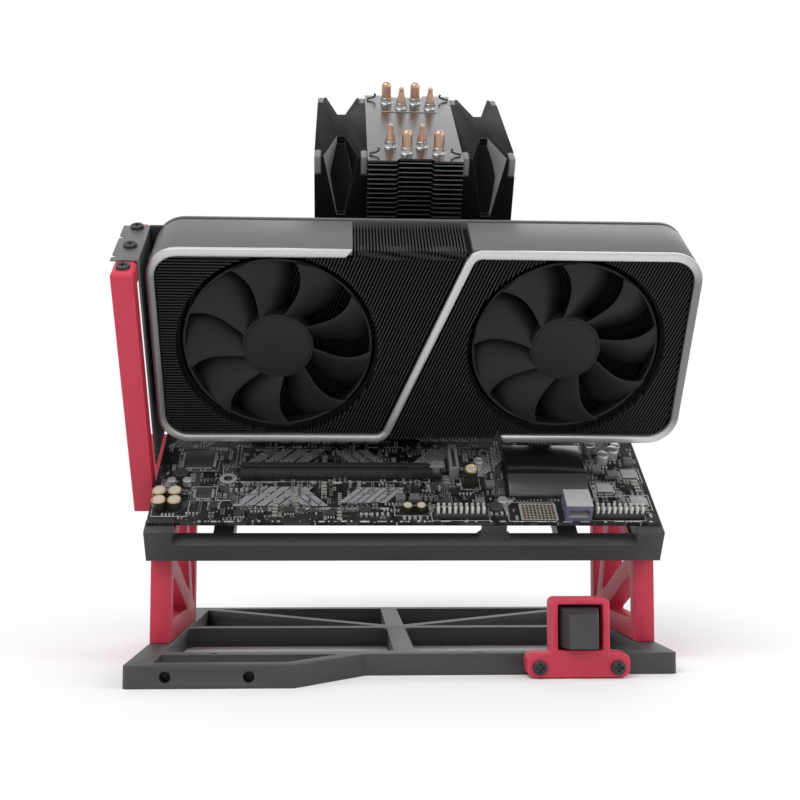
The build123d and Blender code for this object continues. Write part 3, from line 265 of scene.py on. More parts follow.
def effect(name, inputs, outputs):
    """Empty shader group with named sockets."""
    group = bpy.data.node_groups.new(name, "ShaderNodeTree")
    for label, kind, value in inputs:
        socket = group.interface.new_socket(label, in_out="INPUT", socket_type=kind)
        if value is not None:
            socket.default_value = value
    for label in outputs:
        group.interface.new_socket(label, in_out="OUTPUT", socket_type="NodeSocketFloat")
    return group, group.nodes.new("NodeGroupInput"), group.nodes.new("NodeGroupOutput")


def feed(tree, slot, value):
    """Sets an input, or links it to a socket."""
    if isinstance(value, bpy.types.NodeSocket):
        tree.links.new(value, slot)
    else:
        slot.default_value = value


def maths(tree, operation, *values):
    """Math node whose inputs are numbers or sockets."""
    made = tree.nodes.new("ShaderNodeMath")
    made.operation = operation
    for slot, value in zip(made.inputs, values):
        feed(tree, slot, value)
    return made.outputs[0]


def noise(tree, vector, scale, detail=3.0):
    """Noise value over a vector."""
    made = tree.nodes.new("ShaderNodeTexNoise")
    made.inputs["Detail"].default_value = detail
    made.inputs["Roughness"].default_value = 0.55
    tree.links.new(vector, made.inputs["Vector"])
    feed(tree, made.inputs["Scale"], scale)
    return made.outputs[0]


def grain_effect():
    """Fine grain over broad soft patches."""
    group, start, end = effect(
        "Surface grain",
        (("Vector", "NodeSocketVector", None), ("Scale", "NodeSocketFloat", 900.0)),
        ("Tone", "Height"))
    fine = noise(group, start.outputs["Vector"], start.outputs["Scale"])
    broad_scale = maths(group, "MULTIPLY", start.outputs["Scale"], 0.03)
    broad = noise(group, start.outputs["Vector"], broad_scale)
    share = maths(group, "MULTIPLY", broad, 0.55)
    tone = maths(group, "MULTIPLY_ADD", fine, 0.45, share)
    group.links.new(tone, end.inputs["Tone"])
    group.links.new(fine, end.inputs["Height"])
    return group


def layer_effect():
    """Printed layers, each a little different from the next."""
    group, start, end = effect(
        "Printed layers",
        (("Vector", "NodeSocketVector", None), ("Pitch", "NodeSocketFloat", 0.2 * MM)),
        ("Tone", "Height"))
    split = group.nodes.new("ShaderNodeSeparateXYZ")
    group.links.new(start.outputs["Vector"], split.inputs[0])
    count = maths(group, "DIVIDE", split.outputs["Z"], start.outputs["Pitch"])
    wave = maths(group, "SINE", maths(group, "MULTIPLY", count, math.tau))
    height = maths(group, "MULTIPLY_ADD", wave, 0.5, 0.5)
    whole = maths(group, "FLOOR", maths(group, "ADD", count, 0.25))
    white = group.nodes.new("ShaderNodeTexWhiteNoise")
    white.noise_dimensions = "1D"
    group.links.new(whole, white.inputs["W"])
    soft = noise(group, start.outputs["Vector"], 260.0)
    share = maths(group, "MULTIPLY", soft, 0.6)
    tone = maths(group, "MULTIPLY_ADD", white.outputs["Value"], 0.4, share)
    group.links.new(tone, end.inputs["Tone"])
    group.links.new(height, end.inputs["Height"])
    return group


def brushed_effect():
    """Fine lines drawn out along one direction."""
    group, start, end = effect(
        "Brushed metal",
        (("Vector", "NodeSocketVector", None), ("Stretch", "NodeSocketVector", (1.0, 0.02, 1.0)),
         ("Scale", "NodeSocketFloat", 4000.0)),
        ("Tone", "Height"))
    drawn = group.nodes.new("ShaderNodeVectorMath")
    drawn.operation = "MULTIPLY"
    group.links.new(start.outputs["Vector"], drawn.inputs[0])
    group.links.new(start.outputs["Stretch"], drawn.inputs[1])
    lines = noise(group, drawn.outputs[0], start.outputs["Scale"], 2.0)
    patches = noise(group, start.outputs["Vector"], 90.0)
    tone = maths(group, "MULTIPLY_ADD", lines, 0.6, maths(group, "MULTIPLY", patches, 0.4))
    group.links.new(tone, end.inputs["Tone"])
    group.links.new(lines, end.inputs["Height"])
    return group


def wear_and_edge_light_effect():
    """Mask of bevelled edges, broken up by grain: rubbed edges on most finishes, and painted edge highlights on
    the cooler fans' frames.
    """
    group, start, end = effect(
        "Rubbed_and_lit edges",
        (("Vector", "NodeSocketVector", None), ("Edge", "NodeSocketFloat", 0.0),
         ("Amount", "NodeSocketFloat", 0.5)),
        ("Mask",))
    broken = noise(group, start.outputs["Vector"], 420.0)
    lifted = maths(group, "MULTIPLY_ADD", broken, 1.6, -0.3)
    on_edges = maths(group, "MULTIPLY", lifted, start.outputs["Edge"])
    mask = maths(group, "MULTIPLY", on_edges, start.outputs["Amount"])
    clear = maths(group, "MINIMUM", maths(group, "MAXIMUM", mask, 0.0), 1.0)
    group.links.new(clear, end.inputs["Mask"])
    return group


EFFECTS = {
    "grain": grain_effect(), "layers": layer_effect(), "brushed": brushed_effect(), "wear_and_edge_light": wear_and_edge_light_effect(),
}
FINISHES = {}


def placed_group(tree, kind, vector, **values):
    """Effect group in a material, with its own values."""
    made = tree.nodes.new("ShaderNodeGroup")
    made.node_tree = EFFECTS[kind]
    tree.links.new(vector, made.inputs["Vector"])
    for label, value in values.items():
        made.inputs[label].default_value = value
    return made


def mixed(tree, share, first, second):
    """Colour between two colours or colour sockets."""
    made = tree.nodes.new("ShaderNodeMix")
    made.data_type = "RGBA"
    tree.links.new(share, made.inputs[0])
    for slot, value in ((made.inputs[6], first), (made.inputs[7], second)):
        feed(tree, slot, (*value, 1.0) if isinstance(value, tuple) else value)
    return made.outputs[2]


def ranged(tree, value, low, high):
    """Value from 0 to 1 spread between two numbers."""
    made = tree.nodes.new("ShaderNodeMapRange")
    made.inputs["To Min"].default_value = low
    made.inputs["To Max"].default_value = high
    tree.links.new(value, made.inputs["Value"])
    return made.outputs["Result"]


def attribute(tree, name):
    """Value kept on the mesh."""
    made = tree.nodes.new("ShaderNodeAttribute")
    made.attribute_name = name
    return made.outputs["Fac"]


def bump(tree, shader, height, strength, distance):
    """Adds a height to the shader's normal."""
    made = tree.nodes.new("ShaderNodeBump")
    made.inputs["Strength"].default_value = strength
    made.inputs["Distance"].default_value = distance
    tree.links.new(height, made.inputs["Height"])
    before = shader.inputs["Normal"].links
    if before:
        tree.links.new(before[0].from_socket, made.inputs["Normal"])
    tree.links.new(made.outputs["Normal"], shader.inputs["Normal"])


def scaled(colour, share):
    """Colour made darker or lighter."""
    return tuple(min(1.0, part * share) for part in colour)


def start_finish(name, turn=STILL):
    """New material with its shader and an Object coordinate turned to suit the piece."""
    material = bpy.data.materials.new(name)
    material.use_nodes = True
    tree = material.node_tree
    coords = tree.nodes.new("ShaderNodeTexCoord")
    mapping = tree.nodes.new("ShaderNodeMapping")
    mapping.inputs["Rotation"].default_value = turn
    tree.links.new(coords.outputs["Object"], mapping.inputs["Vector"])
    return material, tree, tree.nodes["Principled BSDF"], mapping.outputs["Vector"]


def finish(name, colour, rough, kind="grain", turn=STILL, contrast=0.25, metal=0.0, strength=0.15,
           wear_and_edge_light=0.0, wear_and_edge_light_tone=2.2, spread=0.08, shine=0.5, **values):
    """Finish with one shared effect in its colour, roughness and relief, and edges with their own tone: rubbed
    edges, and on the cooler fans' frames painted edge highlights.
    """
    material, tree, shader, vector = start_finish(name, turn)
    surface = placed_group(tree, kind, vector, **values)
    dark, light = scaled(colour, 1 - contrast), scaled(colour, 1 + contrast)
    tone = mixed(tree, surface.outputs["Tone"], dark, light)
    if wear_and_edge_light:
        rubbed_and_lit_edges = placed_group(tree, "wear_and_edge_light", vector, Amount=wear_and_edge_light)
        tree.links.new(attribute(tree, "edge"), rubbed_and_lit_edges.inputs["Edge"])
        tone = mixed(tree, rubbed_and_lit_edges.outputs["Mask"], tone, scaled(colour, wear_and_edge_light_tone))
    tree.links.new(tone, shader.inputs["Base Color"])
    sheen = ranged(tree, surface.outputs["Tone"], rough - spread, rough + spread)
    tree.links.new(sheen, shader.inputs["Roughness"])
    shader.inputs["Metallic"].default_value = metal
    shader.inputs["Specular IOR Level"].default_value = shine
    bump(tree, shader, surface.outputs["Height"], strength, 0.05 * MM)
    return material


def print_finish(name, colour, pitch, turn):
    """Matt printed plastic with layers along the turned Z."""
    material = finish(
        name, colour, 0.56, "layers", turn, 0.16, strength=0.22, wear_and_edge_light=0.5, wear_and_edge_light_tone=1.6, Pitch=pitch)
    tree = material.node_tree
    shader = tree.nodes["Principled BSDF"]
    coords = next(node for node in tree.nodes if node.type == "TEX_COORD")
    grain = placed_group(tree, "grain", coords.outputs["Object"], Scale=1500.0)
    bump(tree, shader, grain.outputs["Height"], 0.16, 0.06 * MM)
    return material


def trim_finish_with_painted_shade(colour):
    """Brushed trim with painted shade: its upright stretches are painted darker than its level ones."""
    material = finish(
        "trim_silver", colour, 0.32, "brushed", contrast=0.07, metal=0.85, wear_and_edge_light=0.5, wear_and_edge_light_tone=0.62,
        strength=0.05, Stretch=(0.03, 1.0, 1.0))
    tree = material.node_tree
    shader = tree.nodes["Principled BSDF"]
    bright = shader.inputs["Base Color"].links[0].from_socket
    # Painted shade: the upright stretches take about a third of the trim's colour.
    drawn = mixed(tree, attribute(tree, "run"), scaled(colour, 0.34), bright)
    tree.links.new(drawn, shader.inputs["Base Color"])
    return material


def board_finish():
    """Dark lacquered board with tracks, plated holes and faint weave."""
    material, tree, shader, vector = start_finish("board_lacquer")
    plan = tree.nodes.new("ShaderNodeUVMap")
    plan.uv_map = "plan"
    turned = tree.nodes.new("ShaderNodeMapping")
    turned.inputs["Rotation"].default_value = (0.0, 0.0, math.radians(45))
    tree.links.new(plan.outputs["UV"], turned.inputs["Vector"])
    region = noise(tree, plan.outputs["UV"], 0.05, 1.0)
    tracks = []
    for source, width, row in ((plan.outputs["UV"], 17.0, 0.9), (turned.outputs["Vector"], 9.0, 1.1)):
        bricks = tree.nodes.new("ShaderNodeTexBrick")
        bricks.inputs["Scale"].default_value = 1.0
        bricks.inputs["Mortar Size"].default_value = 0.16
        bricks.inputs["Mortar Smooth"].default_value = 0.2
        bricks.inputs["Brick Width"].default_value = width
        bricks.inputs["Row Height"].default_value = row
        tree.links.new(source, bricks.inputs["Vector"])
        tracks.append(bricks.outputs["Fac"])
    first_here = maths(tree, "GREATER_THAN", region, 0.52)
    second_here = maths(tree, "LESS_THAN", region, 0.44)
    first = maths(tree, "MULTIPLY", tracks[0], first_here)
    second = maths(tree, "MULTIPLY", tracks[1], second_here)
    lines = maths(tree, "MAXIMUM", first, second)
    cells = tree.nodes.new("ShaderNodeTexVoronoi")
    cells.inputs["Scale"].default_value = 0.42
    tree.links.new(plan.outputs["UV"], cells.inputs["Vector"])
    ring = maths(tree, "LESS_THAN", cells.outputs["Distance"], 0.13)
    bore = maths(tree, "GREATER_THAN", cells.outputs["Distance"], 0.06)
    vias = maths(tree, "MULTIPLY", ring, bore)
    grain = placed_group(tree, "grain", vector, Scale=1400.0)
    lacquer = mixed(tree, grain.outputs["Tone"], (0.004, 0.004, 0.0045), (0.01, 0.01, 0.011))
    tracked = mixed(tree, maths(tree, "MULTIPLY", lines, 0.75), lacquer, (0.05, 0.05, 0.053))
    plated = mixed(tree, maths(tree, "MULTIPLY", vias, 0.9), tracked, (0.42, 0.4, 0.36))
    tree.links.new(plated, shader.inputs["Base Color"])
    tree.links.new(ranged(tree, grain.outputs["Tone"], 0.3, 0.5), shader.inputs["Roughness"])
    shader.inputs["Specular IOR Level"].default_value = 0.2
    bump(tree, shader, lines, 0.25, 0.04 * MM)
    return material


def part_finish(name, colours, rough, metal=0.0):
    """Finish of tiny parts, whose tone is kept on each copy."""
    material, tree, shader, vector = start_finish(name)
    grain = placed_group(tree, "grain", vector, Scale=2500.0)
    tone = attribute(tree, "tone")
    base = mixed(tree, tone, *colours)
    share = maths(tree, "MULTIPLY", grain.outputs["Tone"], 0.4)
    tree.links.new(mixed(tree, share, base, scaled(colours[0], 0.6)), shader.inputs["Base Color"])
    sheen = ranged(tree, grain.outputs["Tone"], rough - 0.1, rough + 0.1)
    tree.links.new(sheen, shader.inputs["Roughness"])
    shader.inputs["Metallic"].default_value = metal
    bump(tree, shader, grain.outputs["Height"], 0.1, 0.03 * MM)
    return material


def make_finishes(colours, layer):
    """Builds every finish once."""
    rack_turn = (-RACK_TILT, 0.0, 0.0)
    side_turn = (0.0, math.radians(90), 0.0)
    front_turn = (math.radians(90), 0.0, 0.0)
    grey, red = tuple(colours.print_grey), tuple(colours.print_red)
    made = FINISHES
    made["frame_grey"] = print_finish("frame_print", grey, layer, STILL)
    made["tray_grey"] = print_finish("tray_print", scaled(grey, 0.95), layer, rack_turn)
    made["leg_red"] = print_finish("leg_print", red, layer, side_turn)
    made["holder_red"] = print_finish("holder_print", red, layer, front_turn)
    made["screw_steel"] = finish(
        "blackened_steel", (0.045, 0.045, 0.048), 0.4, "brushed", metal=0.7, wear_and_edge_light=0.6)
    made["switch_plastic"] = finish("switch_plastic", (0.03, 0.03, 0.032), 0.4)
    made["key_plastic"] = finish(
        "key_plastic", (0.034, 0.034, 0.036), 0.46, Scale=1800.0, strength=0.3, wear_and_edge_light=0.3)
    made["board_black"] = board_finish()
    made["card_board"] = finish("card_lacquer", (0.012, 0.012, 0.013), 0.4)
    made["slot_plastic"] = finish("slot_plastic", (0.018, 0.018, 0.019), 0.44, wear_and_edge_light=0.25)
    made["latch_plastic"] = finish("latch_plastic", (0.045, 0.045, 0.047), 0.45, wear_and_edge_light=0.25)
    made["trim_silver"] = trim_finish_with_painted_shade(tuple(colours.trim_silver))
    made["card_grey"] = finish(
        "card_paint", tuple(colours.card_grey), 0.44, contrast=0.12, wear_and_edge_light=0.35, wear_and_edge_light_tone=1.8, shine=0.28,
        Scale=2200.0)
    # Near-black painted shade, for the card's walls where they look inwards and for the core plate behind its
    # fins.
    made["card_shade_black"] = finish("card_painted_shade", (0.004, 0.004, 0.004), 0.7, contrast=0.3, shine=0.15)
    made["card_fin_black"] = finish(
        "card_fins", (0.021, 0.021, 0.0215), 0.42, "brushed", contrast=0.4, metal=0.3, shine=0.3)
    made["rotor_grey"] = finish(
        "rotor_plastic", (0.1, 0.1, 0.102), 0.46, Scale=1600.0, strength=0.2, shine=0.3)
    made["fin_edge"] = finish("fin_edge", (0.3, 0.3, 0.305), 0.36, "brushed", contrast=0.14, metal=0.9)
    made["fan_black"] = finish(
        "fan_plastic", (0.0095, 0.0095, 0.01), 0.46, Scale=1600.0, strength=0.2, shine=0.26)
    made["motor_black"] = finish("motor_plastic", (0.02, 0.02, 0.02), 0.5)
    made["bracket_steel"] = finish(
        "bracket_steel", (0.5, 0.5, 0.51), 0.34, "brushed", contrast=0.12, metal=0.95, wear_and_edge_light=0.3,
        wear_and_edge_light_tone=1.5)
    made["tab_grey"] = finish(
        "tab_paint", (0.13, 0.13, 0.133), 0.42, "brushed", contrast=0.12, metal=0.4, wear_and_edge_light=0.4,
        wear_and_edge_light_tone=1.6)
    made["fin_dark"] = finish(
        "fin_lacquer", (0.02, 0.02, 0.0205), 0.4, "brushed", contrast=0.14, metal=0.8, strength=0.08,
        Stretch=(1.0, 0.02, 1.0))
    made["plate_grey"] = finish(
        "plate_lacquer", (0.15, 0.15, 0.153), 0.2, "brushed", contrast=0.06, metal=1.0, strength=0.04,
        spread=0.04, Stretch=(0.02, 1.0, 1.0))
    made["pipe_copper"] = finish(
        "drawn_copper", (0.47, 0.3, 0.215), 0.3, "brushed", contrast=0.15, metal=1.0, strength=0.08,
        Stretch=(1.0, 1.0, 0.03))
    made["collar_nickel"] = finish(
        "collar_nickel", (0.36, 0.35, 0.345), 0.28, "brushed", contrast=0.1, metal=1.0)
    # The frames' edges carry painted highlights: a tone forty times the frame's colour makes them light lines.
    made["fan_frame_grey"] = finish(
        "fan_frame_plastic", (0.005, 0.005, 0.0053), 0.6, Scale=1500.0, strength=0.25, wear_and_edge_light=0.9,
        wear_and_edge_light_tone=40.0, shine=0.05)
    # Painted light: the lit slanting sides of the cooler fans' flanges.
    made["painted_light_flange"] = finish("flange_painted_light", (0.24, 0.24, 0.244), 0.5, Scale=1500.0, strength=0.25)
    made["pad_rubber"] = finish(
        "pad_rubber", (0.17, 0.17, 0.172), 0.66, Scale=1300.0, strength=0.3, contrast=0.12)
    made["socket_plastic"] = finish("socket_plastic", (0.06, 0.06, 0.062), 0.45)
    made["processor_metal"] = finish(
        "spreader_metal", (0.6, 0.6, 0.6), 0.3, "brushed", metal=1.0, contrast=0.1)
    made["heatsink_black"] = finish(
        "heatsink_paint", (0.028, 0.028, 0.03), 0.42, "brushed", contrast=0.3, metal=0.3, wear_and_edge_light=0.4)
    made["capacitor_gold"] = finish(
        "capacitor_can", (0.62, 0.47, 0.2), 0.3, "brushed", contrast=0.12, metal=0.85,
        Stretch=(1.0, 1.0, 0.05))
    made["chip_black"] = finish("chip_moulding", (0.03, 0.03, 0.031), 0.5, Scale=2600.0, strength=0.3)
    made["contact_gold"] = finish(
        "contact_gold", (0.75, 0.56, 0.24), 0.26, "brushed", contrast=0.1, metal=1.0)
    made["field_grey"] = finish("printed_field", (0.26, 0.26, 0.272), 0.5, contrast=0.1, Scale=2000.0)
    made["track_grey"] = finish("track_lacquer", (0.11, 0.11, 0.115), 0.42, contrast=0.15, Scale=2000.0)
    made["mark_pale"] = part_finish("printed_mark", ((0.34, 0.34, 0.33), (0.62, 0.61, 0.58)), 0.55)
    made["ring_tin"] = finish("ring_tin", (0.62, 0.61, 0.58), 0.36, "brushed", contrast=0.12, metal=0.6)
    made["pin_white"] = finish("pin_tin", (0.66, 0.65, 0.62), 0.36, contrast=0.12, metal=0.4, Scale=1800.0)
    made["slot_gloss"] = finish("slot_panel", (0.03, 0.031, 0.034), 0.22, contrast=0.2, Scale=1500.0)
    made["latch_grey"] = finish("latch_grey", (0.16, 0.16, 0.165), 0.4, contrast=0.12, wear_and_edge_light=0.3)
    made["drive_grey"] = finish("drive_shell", (0.38, 0.37, 0.37), 0.4, contrast=0.08, Scale=1800.0)
    made["drive_blue"] = finish("drive_side", (0.1, 0.1, 0.15), 0.4, contrast=0.12, Scale=1800.0)
    made["chipset_black"] = finish(
        "chipset_lacquer", (0.008, 0.008, 0.0085), 0.16, contrast=0.2, spread=0.05, strength=0.05,
        shine=0.35)
    made["bevel_grey"] = finish(
        "bevel_brushed", (0.05, 0.05, 0.051), 0.34, "brushed", contrast=0.2, metal=0.3)
    made["chip_grey"] = finish("chip_top", (0.3, 0.3, 0.295), 0.5, contrast=0.1, Scale=2600.0, strength=0.2)
    # Painted shade: the capacitors' sides are near-black, darker than their tops.
    made["can_side_shade"] = finish("can_side_shade", (0.02, 0.019, 0.014), 0.35, contrast=0.2)
    made["can_top"] = finish("can_top", (0.72, 0.69, 0.6), 0.38, "brushed", contrast=0.08, metal=0.4)
    made["can_silver"] = finish("can_silver", (0.6, 0.6, 0.59), 0.3, "brushed", contrast=0.1, metal=0.7)
    made["choke_grey"] = finish(
        "choke_shell", (0.12, 0.12, 0.123), 0.48, Scale=2000.0, contrast=0.15, wear_and_edge_light=0.3)
    made["pale_plastic"] = finish("pale_plastic", (0.72, 0.71, 0.68), 0.42, contrast=0.06, Scale=1800.0)
    made["tiny_body"] = part_finish("tiny_part", ((0.36, 0.33, 0.29), (0.03, 0.03, 0.03)), 0.45)
    made["tiny_end"] = part_finish("tiny_part_end", ((0.75, 0.74, 0.72), (0.6, 0.6, 0.6)), 0.32, 0.8)


# Mesh making, in millimetres

def add_box(bm, x, y, z, edge=0.0):
    """Box between pairs of ends, with rounded edges if asked."""
    made = bmesh.ops.create_cube(bm, size=1.0)["verts"]
    for vert in made:
        vert.co = Vector((
            x[0] if vert.co.x < 0 else x[1],
            y[0] if vert.co.y < 0 else y[1],
            z[0] if vert.co.z < 0 else z[1]))
    if edge:
        edges = list({side for vert in made for side in vert.link_edges})
        bmesh.ops.bevel(
            bm, geom=edges, offset=edge, segments=2, affect="EDGES", profile=0.5, clamp_overlap=True)


def add_rings(bm, rings, closed=False):
    """Skin between rings of points, which are capped unless the skin closes on itself."""
    rows = [[bm.verts.new(point) for point in ring] for ring in rings]
    pairs = list(zip(rows, rows[1:]))
    if closed:
        pairs.append((rows[-1], rows[0]))
    for low, high in pairs:
        size = len(low)
        for step in range(size):
            after = (step + 1) % size
            bm.faces.new((low[step], low[after], high[after], high[step]))
    if not closed:
        bm.faces.new(reversed(rows[0]))
        bm.faces.new(rows[-1])


def circle(radius, z, sides):
    """Ring of points round Z."""
    return [(x, y, z) for x, y in disc(0.0, 0.0, radius, sides)]


def add_lathe(bm, profile, sides, closed=False):
    """Form turned round Z from pairs of radius and height."""
    add_rings(bm, [circle(radius, z, sides) for radius, z in profile], closed)


def add_plate(bm, outline, z0, z1, holes=()):
    """Flat plate with a straight sided outline and holes, thickened along Z."""
    edges = []
    for loop in (outline, *holes):
        verts = [bm.verts.new((x, y, z0)) for x, y in loop]
        for step, vert in enumerate(verts):
            edges.append(bm.edges.new((vert, verts[(step + 1) % len(verts)])))
    filled = bmesh.ops.triangle_fill(bm, use_beauty=True, use_dissolve=False, edges=edges)
    faces = [item for item in filled["geom"] if isinstance(item, bmesh.types.BMFace)]
    raised = bmesh.ops.extrude_face_region(bm, geom=faces, use_keep_orig=True)
    verts = [item for item in raised["geom"] if isinstance(item, bmesh.types.BMVert)]
    bmesh.ops.translate(bm, verts=verts, vec=(0, 0, z1 - z0))


def rounded_outline(x0, x1, y0, y1, radius, steps=8):
    """Rectangle with round corners."""
    points = []
    corners = ((x1, y1, 0), (x0, y1, 90), (x0, y0, 180), (x1, y0, 270))
    for x, y, begin in corners:
        middle_x = x - radius if x == x1 else x + radius
        middle_y = y - radius if y == y1 else y + radius
        for step in range(steps + 1):
            turn = math.radians(begin + 90 * step / steps)
            points.append((middle_x + radius * math.cos(turn), middle_y + radius * math.sin(turn)))
    return points


def disc(x, y, radius, sides=72):
    """Round outline."""
    turns = [math.tau / sides * step for step in range(sides)]
    return [(x + radius * math.cos(turn), y + radius * math.sin(turn)) for turn in turns]


def add_tube(bm, path, radii, sides, side=Vector((1, 0, 0))):
    """Round bar along a path in the plane across a side direction, with a radius at each point."""
    rings = []
    for step, point in enumerate(path):
        before = path[max(step - 1, 0)]
        after = path[min(step + 1, len(path) - 1)]
        along = (Vector(after) - Vector(before)).normalized()
        up = along.cross(side)
        ring = []
        for turn in range(sides):
            angle = math.tau * turn / sides
            ring.append(Vector(point) + (side * math.cos(angle) + up * math.sin(angle)) * radii[step])
        rings.append(ring)
    add_rings(bm, rings)


def shaped(bm, place, smooth=SMOOTH):
    """Mesh from a bmesh, set in its place with normals outwards, smooth faces and sharp edges."""
    bmesh.ops.remove_doubles(bm, verts=bm.verts, dist=1e-4)
    bmesh.ops.recalc_face_normals(bm, faces=bm.faces)
    mesh = bpy.data.meshes.new("shape")
    bm.to_mesh(mesh)
    bm.free()
    mesh.transform(place)
    shade(mesh, smooth)
    return mesh


def shade(mesh, smooth):
    """Smooth faces except over sharp edges."""
    mesh.polygons.foreach_set("use_smooth", [True] * len(mesh.polygons))
    mesh.set_sharp_from_angle(angle=math.radians(smooth))


def piece(name, mesh, material=None, body="bench", stands_for=()):
    """Finished piece at the origin, riding on its body."""
    mesh.name = name
    if material is not None:
        mesh.materials.clear()
        mesh.materials.append(FINISHES[material])
    made = bpy.data.objects.new(name, mesh)
    bpy.context.scene.collection.objects.link(made)
    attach(made, body)
    if stands_for:
        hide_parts(*stands_for)
    return made


def plain(holder):
    """Plain mesh of an object with its modifiers, which goes away."""
    graph = bpy.context.evaluated_depsgraph_get()
    mesh = bpy.data.meshes.new_from_object(
        holder.evaluated_get(graph), preserve_all_data_layers=True, depsgraph=graph)
    holder.modifiers.clear()
    bpy.data.objects.remove(holder)
    return mesh


def held(name, mesh):
    """Object that carries a mesh while modifiers work on it."""
    made = bpy.data.objects.new(name, mesh)
    bpy.context.scene.collection.objects.link(made)
    return made


def rounded_node(node, width):
    """Copy of a CAD node's mesh with rounded edges, which are marked for wear and for painted edge highlights."""
    bm = bmesh.new()
    bm.from_mesh(NODES[node].data)
    bmesh.ops.remove_doubles(bm, verts=bm.verts, dist=2e-6)
    bmesh.ops.join_triangles(
        bm, faces=bm.faces, angle_face_threshold=math.radians(0.4), angle_shape_threshold=math.radians(80))
    mesh = bpy.data.meshes.new(node)
    bm.to_mesh(mesh)
    bm.free()
    mesh.materials.clear()
    # Two finishes, so that the bevel can tell its own faces by the second one
    mesh.materials.append(FINISHES["frame_grey"])
    mesh.materials.append(FINISHES["leg_red"])
    holder = held(node + "_copy", mesh)
    bevel = holder.modifiers.new("Edges", "BEVEL")
    bevel.width = width * MM
    bevel.segments = 2
    bevel.limit_method = "ANGLE"
    bevel.angle_limit = math.radians(BEVEL_ANGLE)
    bevel.miter_outer = "MITER_SHARP"
    bevel.use_clamp_overlap = True
    bevel.material = 1
    made = plain(holder)
    edges = [float(face.material_index == 1) for face in made.polygons]
    made.polygons.foreach_set("material_index", [0] * len(made.polygons))
    mark = made.attributes.new("edge", "FLOAT", "FACE")
    mark.data.foreach_set("value", edges)
    shade(made, SMOOTH)
    return made


def dressed_node(node, edge, material, slot):
    """Piece that stands for a CAD node, with rounded edges and a finish."""
    return piece(node + "_body", rounded_node(node, edge), material, NODE_BODY[node], (node,))


def dressed_nodes(*rows):
    """Pieces that stand for CAD nodes, from rows of a node, its edge, its finish and its slot, which is not used.
    """
    for row in rows:
        dressed_node(*row)


def painted(made, material, chosen):
    """Gives one more finish to the faces that a test of place and direction on the rack picks."""
    mesh = made.data
    mesh.materials.append(FINISHES[material])
    index = len(mesh.materials) - 1
    inverse = RACK.inverted()
    turn = TURN.transposed()
    for face in mesh.polygons:
        if chosen(inverse @ face.center, turn @ face.normal):
            face.material_index = index


def moved_aside(points, distance):
    """Line of points moved sideways, with its corners mitred."""
    points = [Vector(point) for point in points]
    runs = [(after - before).normalized() for before, after in zip(points, points[1:])]
    moved = []
    for step, point in enumerate(points):
        before = runs[max(step - 1, 0)]
        after = runs[min(step, len(runs) - 1)]
        middle = (before + after).normalized()
        side = Vector((-middle.y, middle.x))
        moved.append(point + side * distance / side.dot(Vector((-before.y, before.x))))
    return moved


# Trees that repeat a shape

def tree_start(name, *inputs):
    """Geometry tree with an item to copy, its finish, further named inputs and one output."""
    tree = bpy.data.node_groups.new(name, "GeometryNodeTree")
    shared = (
        ("Points", "NodeSocketGeometry"), ("Item", "NodeSocketObject"), ("Finish", "NodeSocketMaterial"))
    for label, kind in shared + inputs:
        tree.interface.new_socket(label, in_out="INPUT", socket_type=kind)
    tree.interface.new_socket("Copies", in_out="OUTPUT", socket_type="NodeSocketGeometry")
    return tree, tree.nodes.new("NodeGroupInput")


def tree_end(tree, start, points, rotation=None, scale=None):
    """Sets the item on the points, makes the copies real and gives them the finish."""
    item = tree.nodes.new("GeometryNodeObjectInfo")
    item.inputs["As Instance"].default_value = True
    tree.links.new(start.outputs["Item"], item.inputs["Object"])
    setter = tree.nodes.new("GeometryNodeInstanceOnPoints")
    tree.links.new(points, setter.inputs["Points"])
    tree.links.new(item.outputs["Geometry"], setter.inputs["Instance"])
    if rotation is not None:
        tree.links.new(rotation, setter.inputs["Rotation"])
    if scale is not None:
        tree.links.new(scale, setter.inputs["Scale"])
    real = tree.nodes.new("GeometryNodeRealizeInstances")
    tree.links.new(setter.outputs["Instances"], real.inputs["Geometry"])
    coat = tree.nodes.new("GeometryNodeSetMaterial")
    tree.links.new(real.outputs["Geometry"], coat.inputs["Geometry"])
    tree.links.new(start.outputs["Finish"], coat.inputs["Material"])
    end = tree.nodes.new("NodeGroupOutput")
    tree.links.new(coat.outputs["Geometry"], end.inputs["Copies"])
    return tree


def named_vector(tree, name):
    """Vector kept on the points."""
    made = tree.nodes.new("GeometryNodeInputNamedAttribute")
    made.data_type = "FLOAT_VECTOR"
    made.inputs["Name"].default_value = name
    return made.outputs["Attribute"]


def placed_tree():
    """Copies on given points, turned and sized by what each point keeps."""
    tree, start = tree_start("Placed copies")
    turn, size = named_vector(tree, "turn"), named_vector(tree, "size")
    return tree_end(tree, start, start.outputs["Points"], turn, size)


def row_tree():
    """Copies in a straight row."""
    tree, start = tree_start(
        "Row of copies",
        ("Count", "NodeSocketInt"), ("First", "NodeSocketVector"), ("Step", "NodeSocketVector"))
    index = tree.nodes.new("GeometryNodeInputIndex")
    shift = tree.nodes.new("ShaderNodeVectorMath")
    shift.operation = "MULTIPLY_ADD"
    tree.links.new(start.outputs["Step"], shift.inputs[0])
    tree.links.new(index.outputs[0], shift.inputs[1])
    tree.links.new(start.outputs["First"], shift.inputs[2])
    points = tree.nodes.new("GeometryNodePoints")
    tree.links.new(start.outputs["Count"], points.inputs["Count"])
    tree.links.new(shift.outputs[0], points.inputs["Position"])
    return tree_end(tree, start, points.outputs[0])


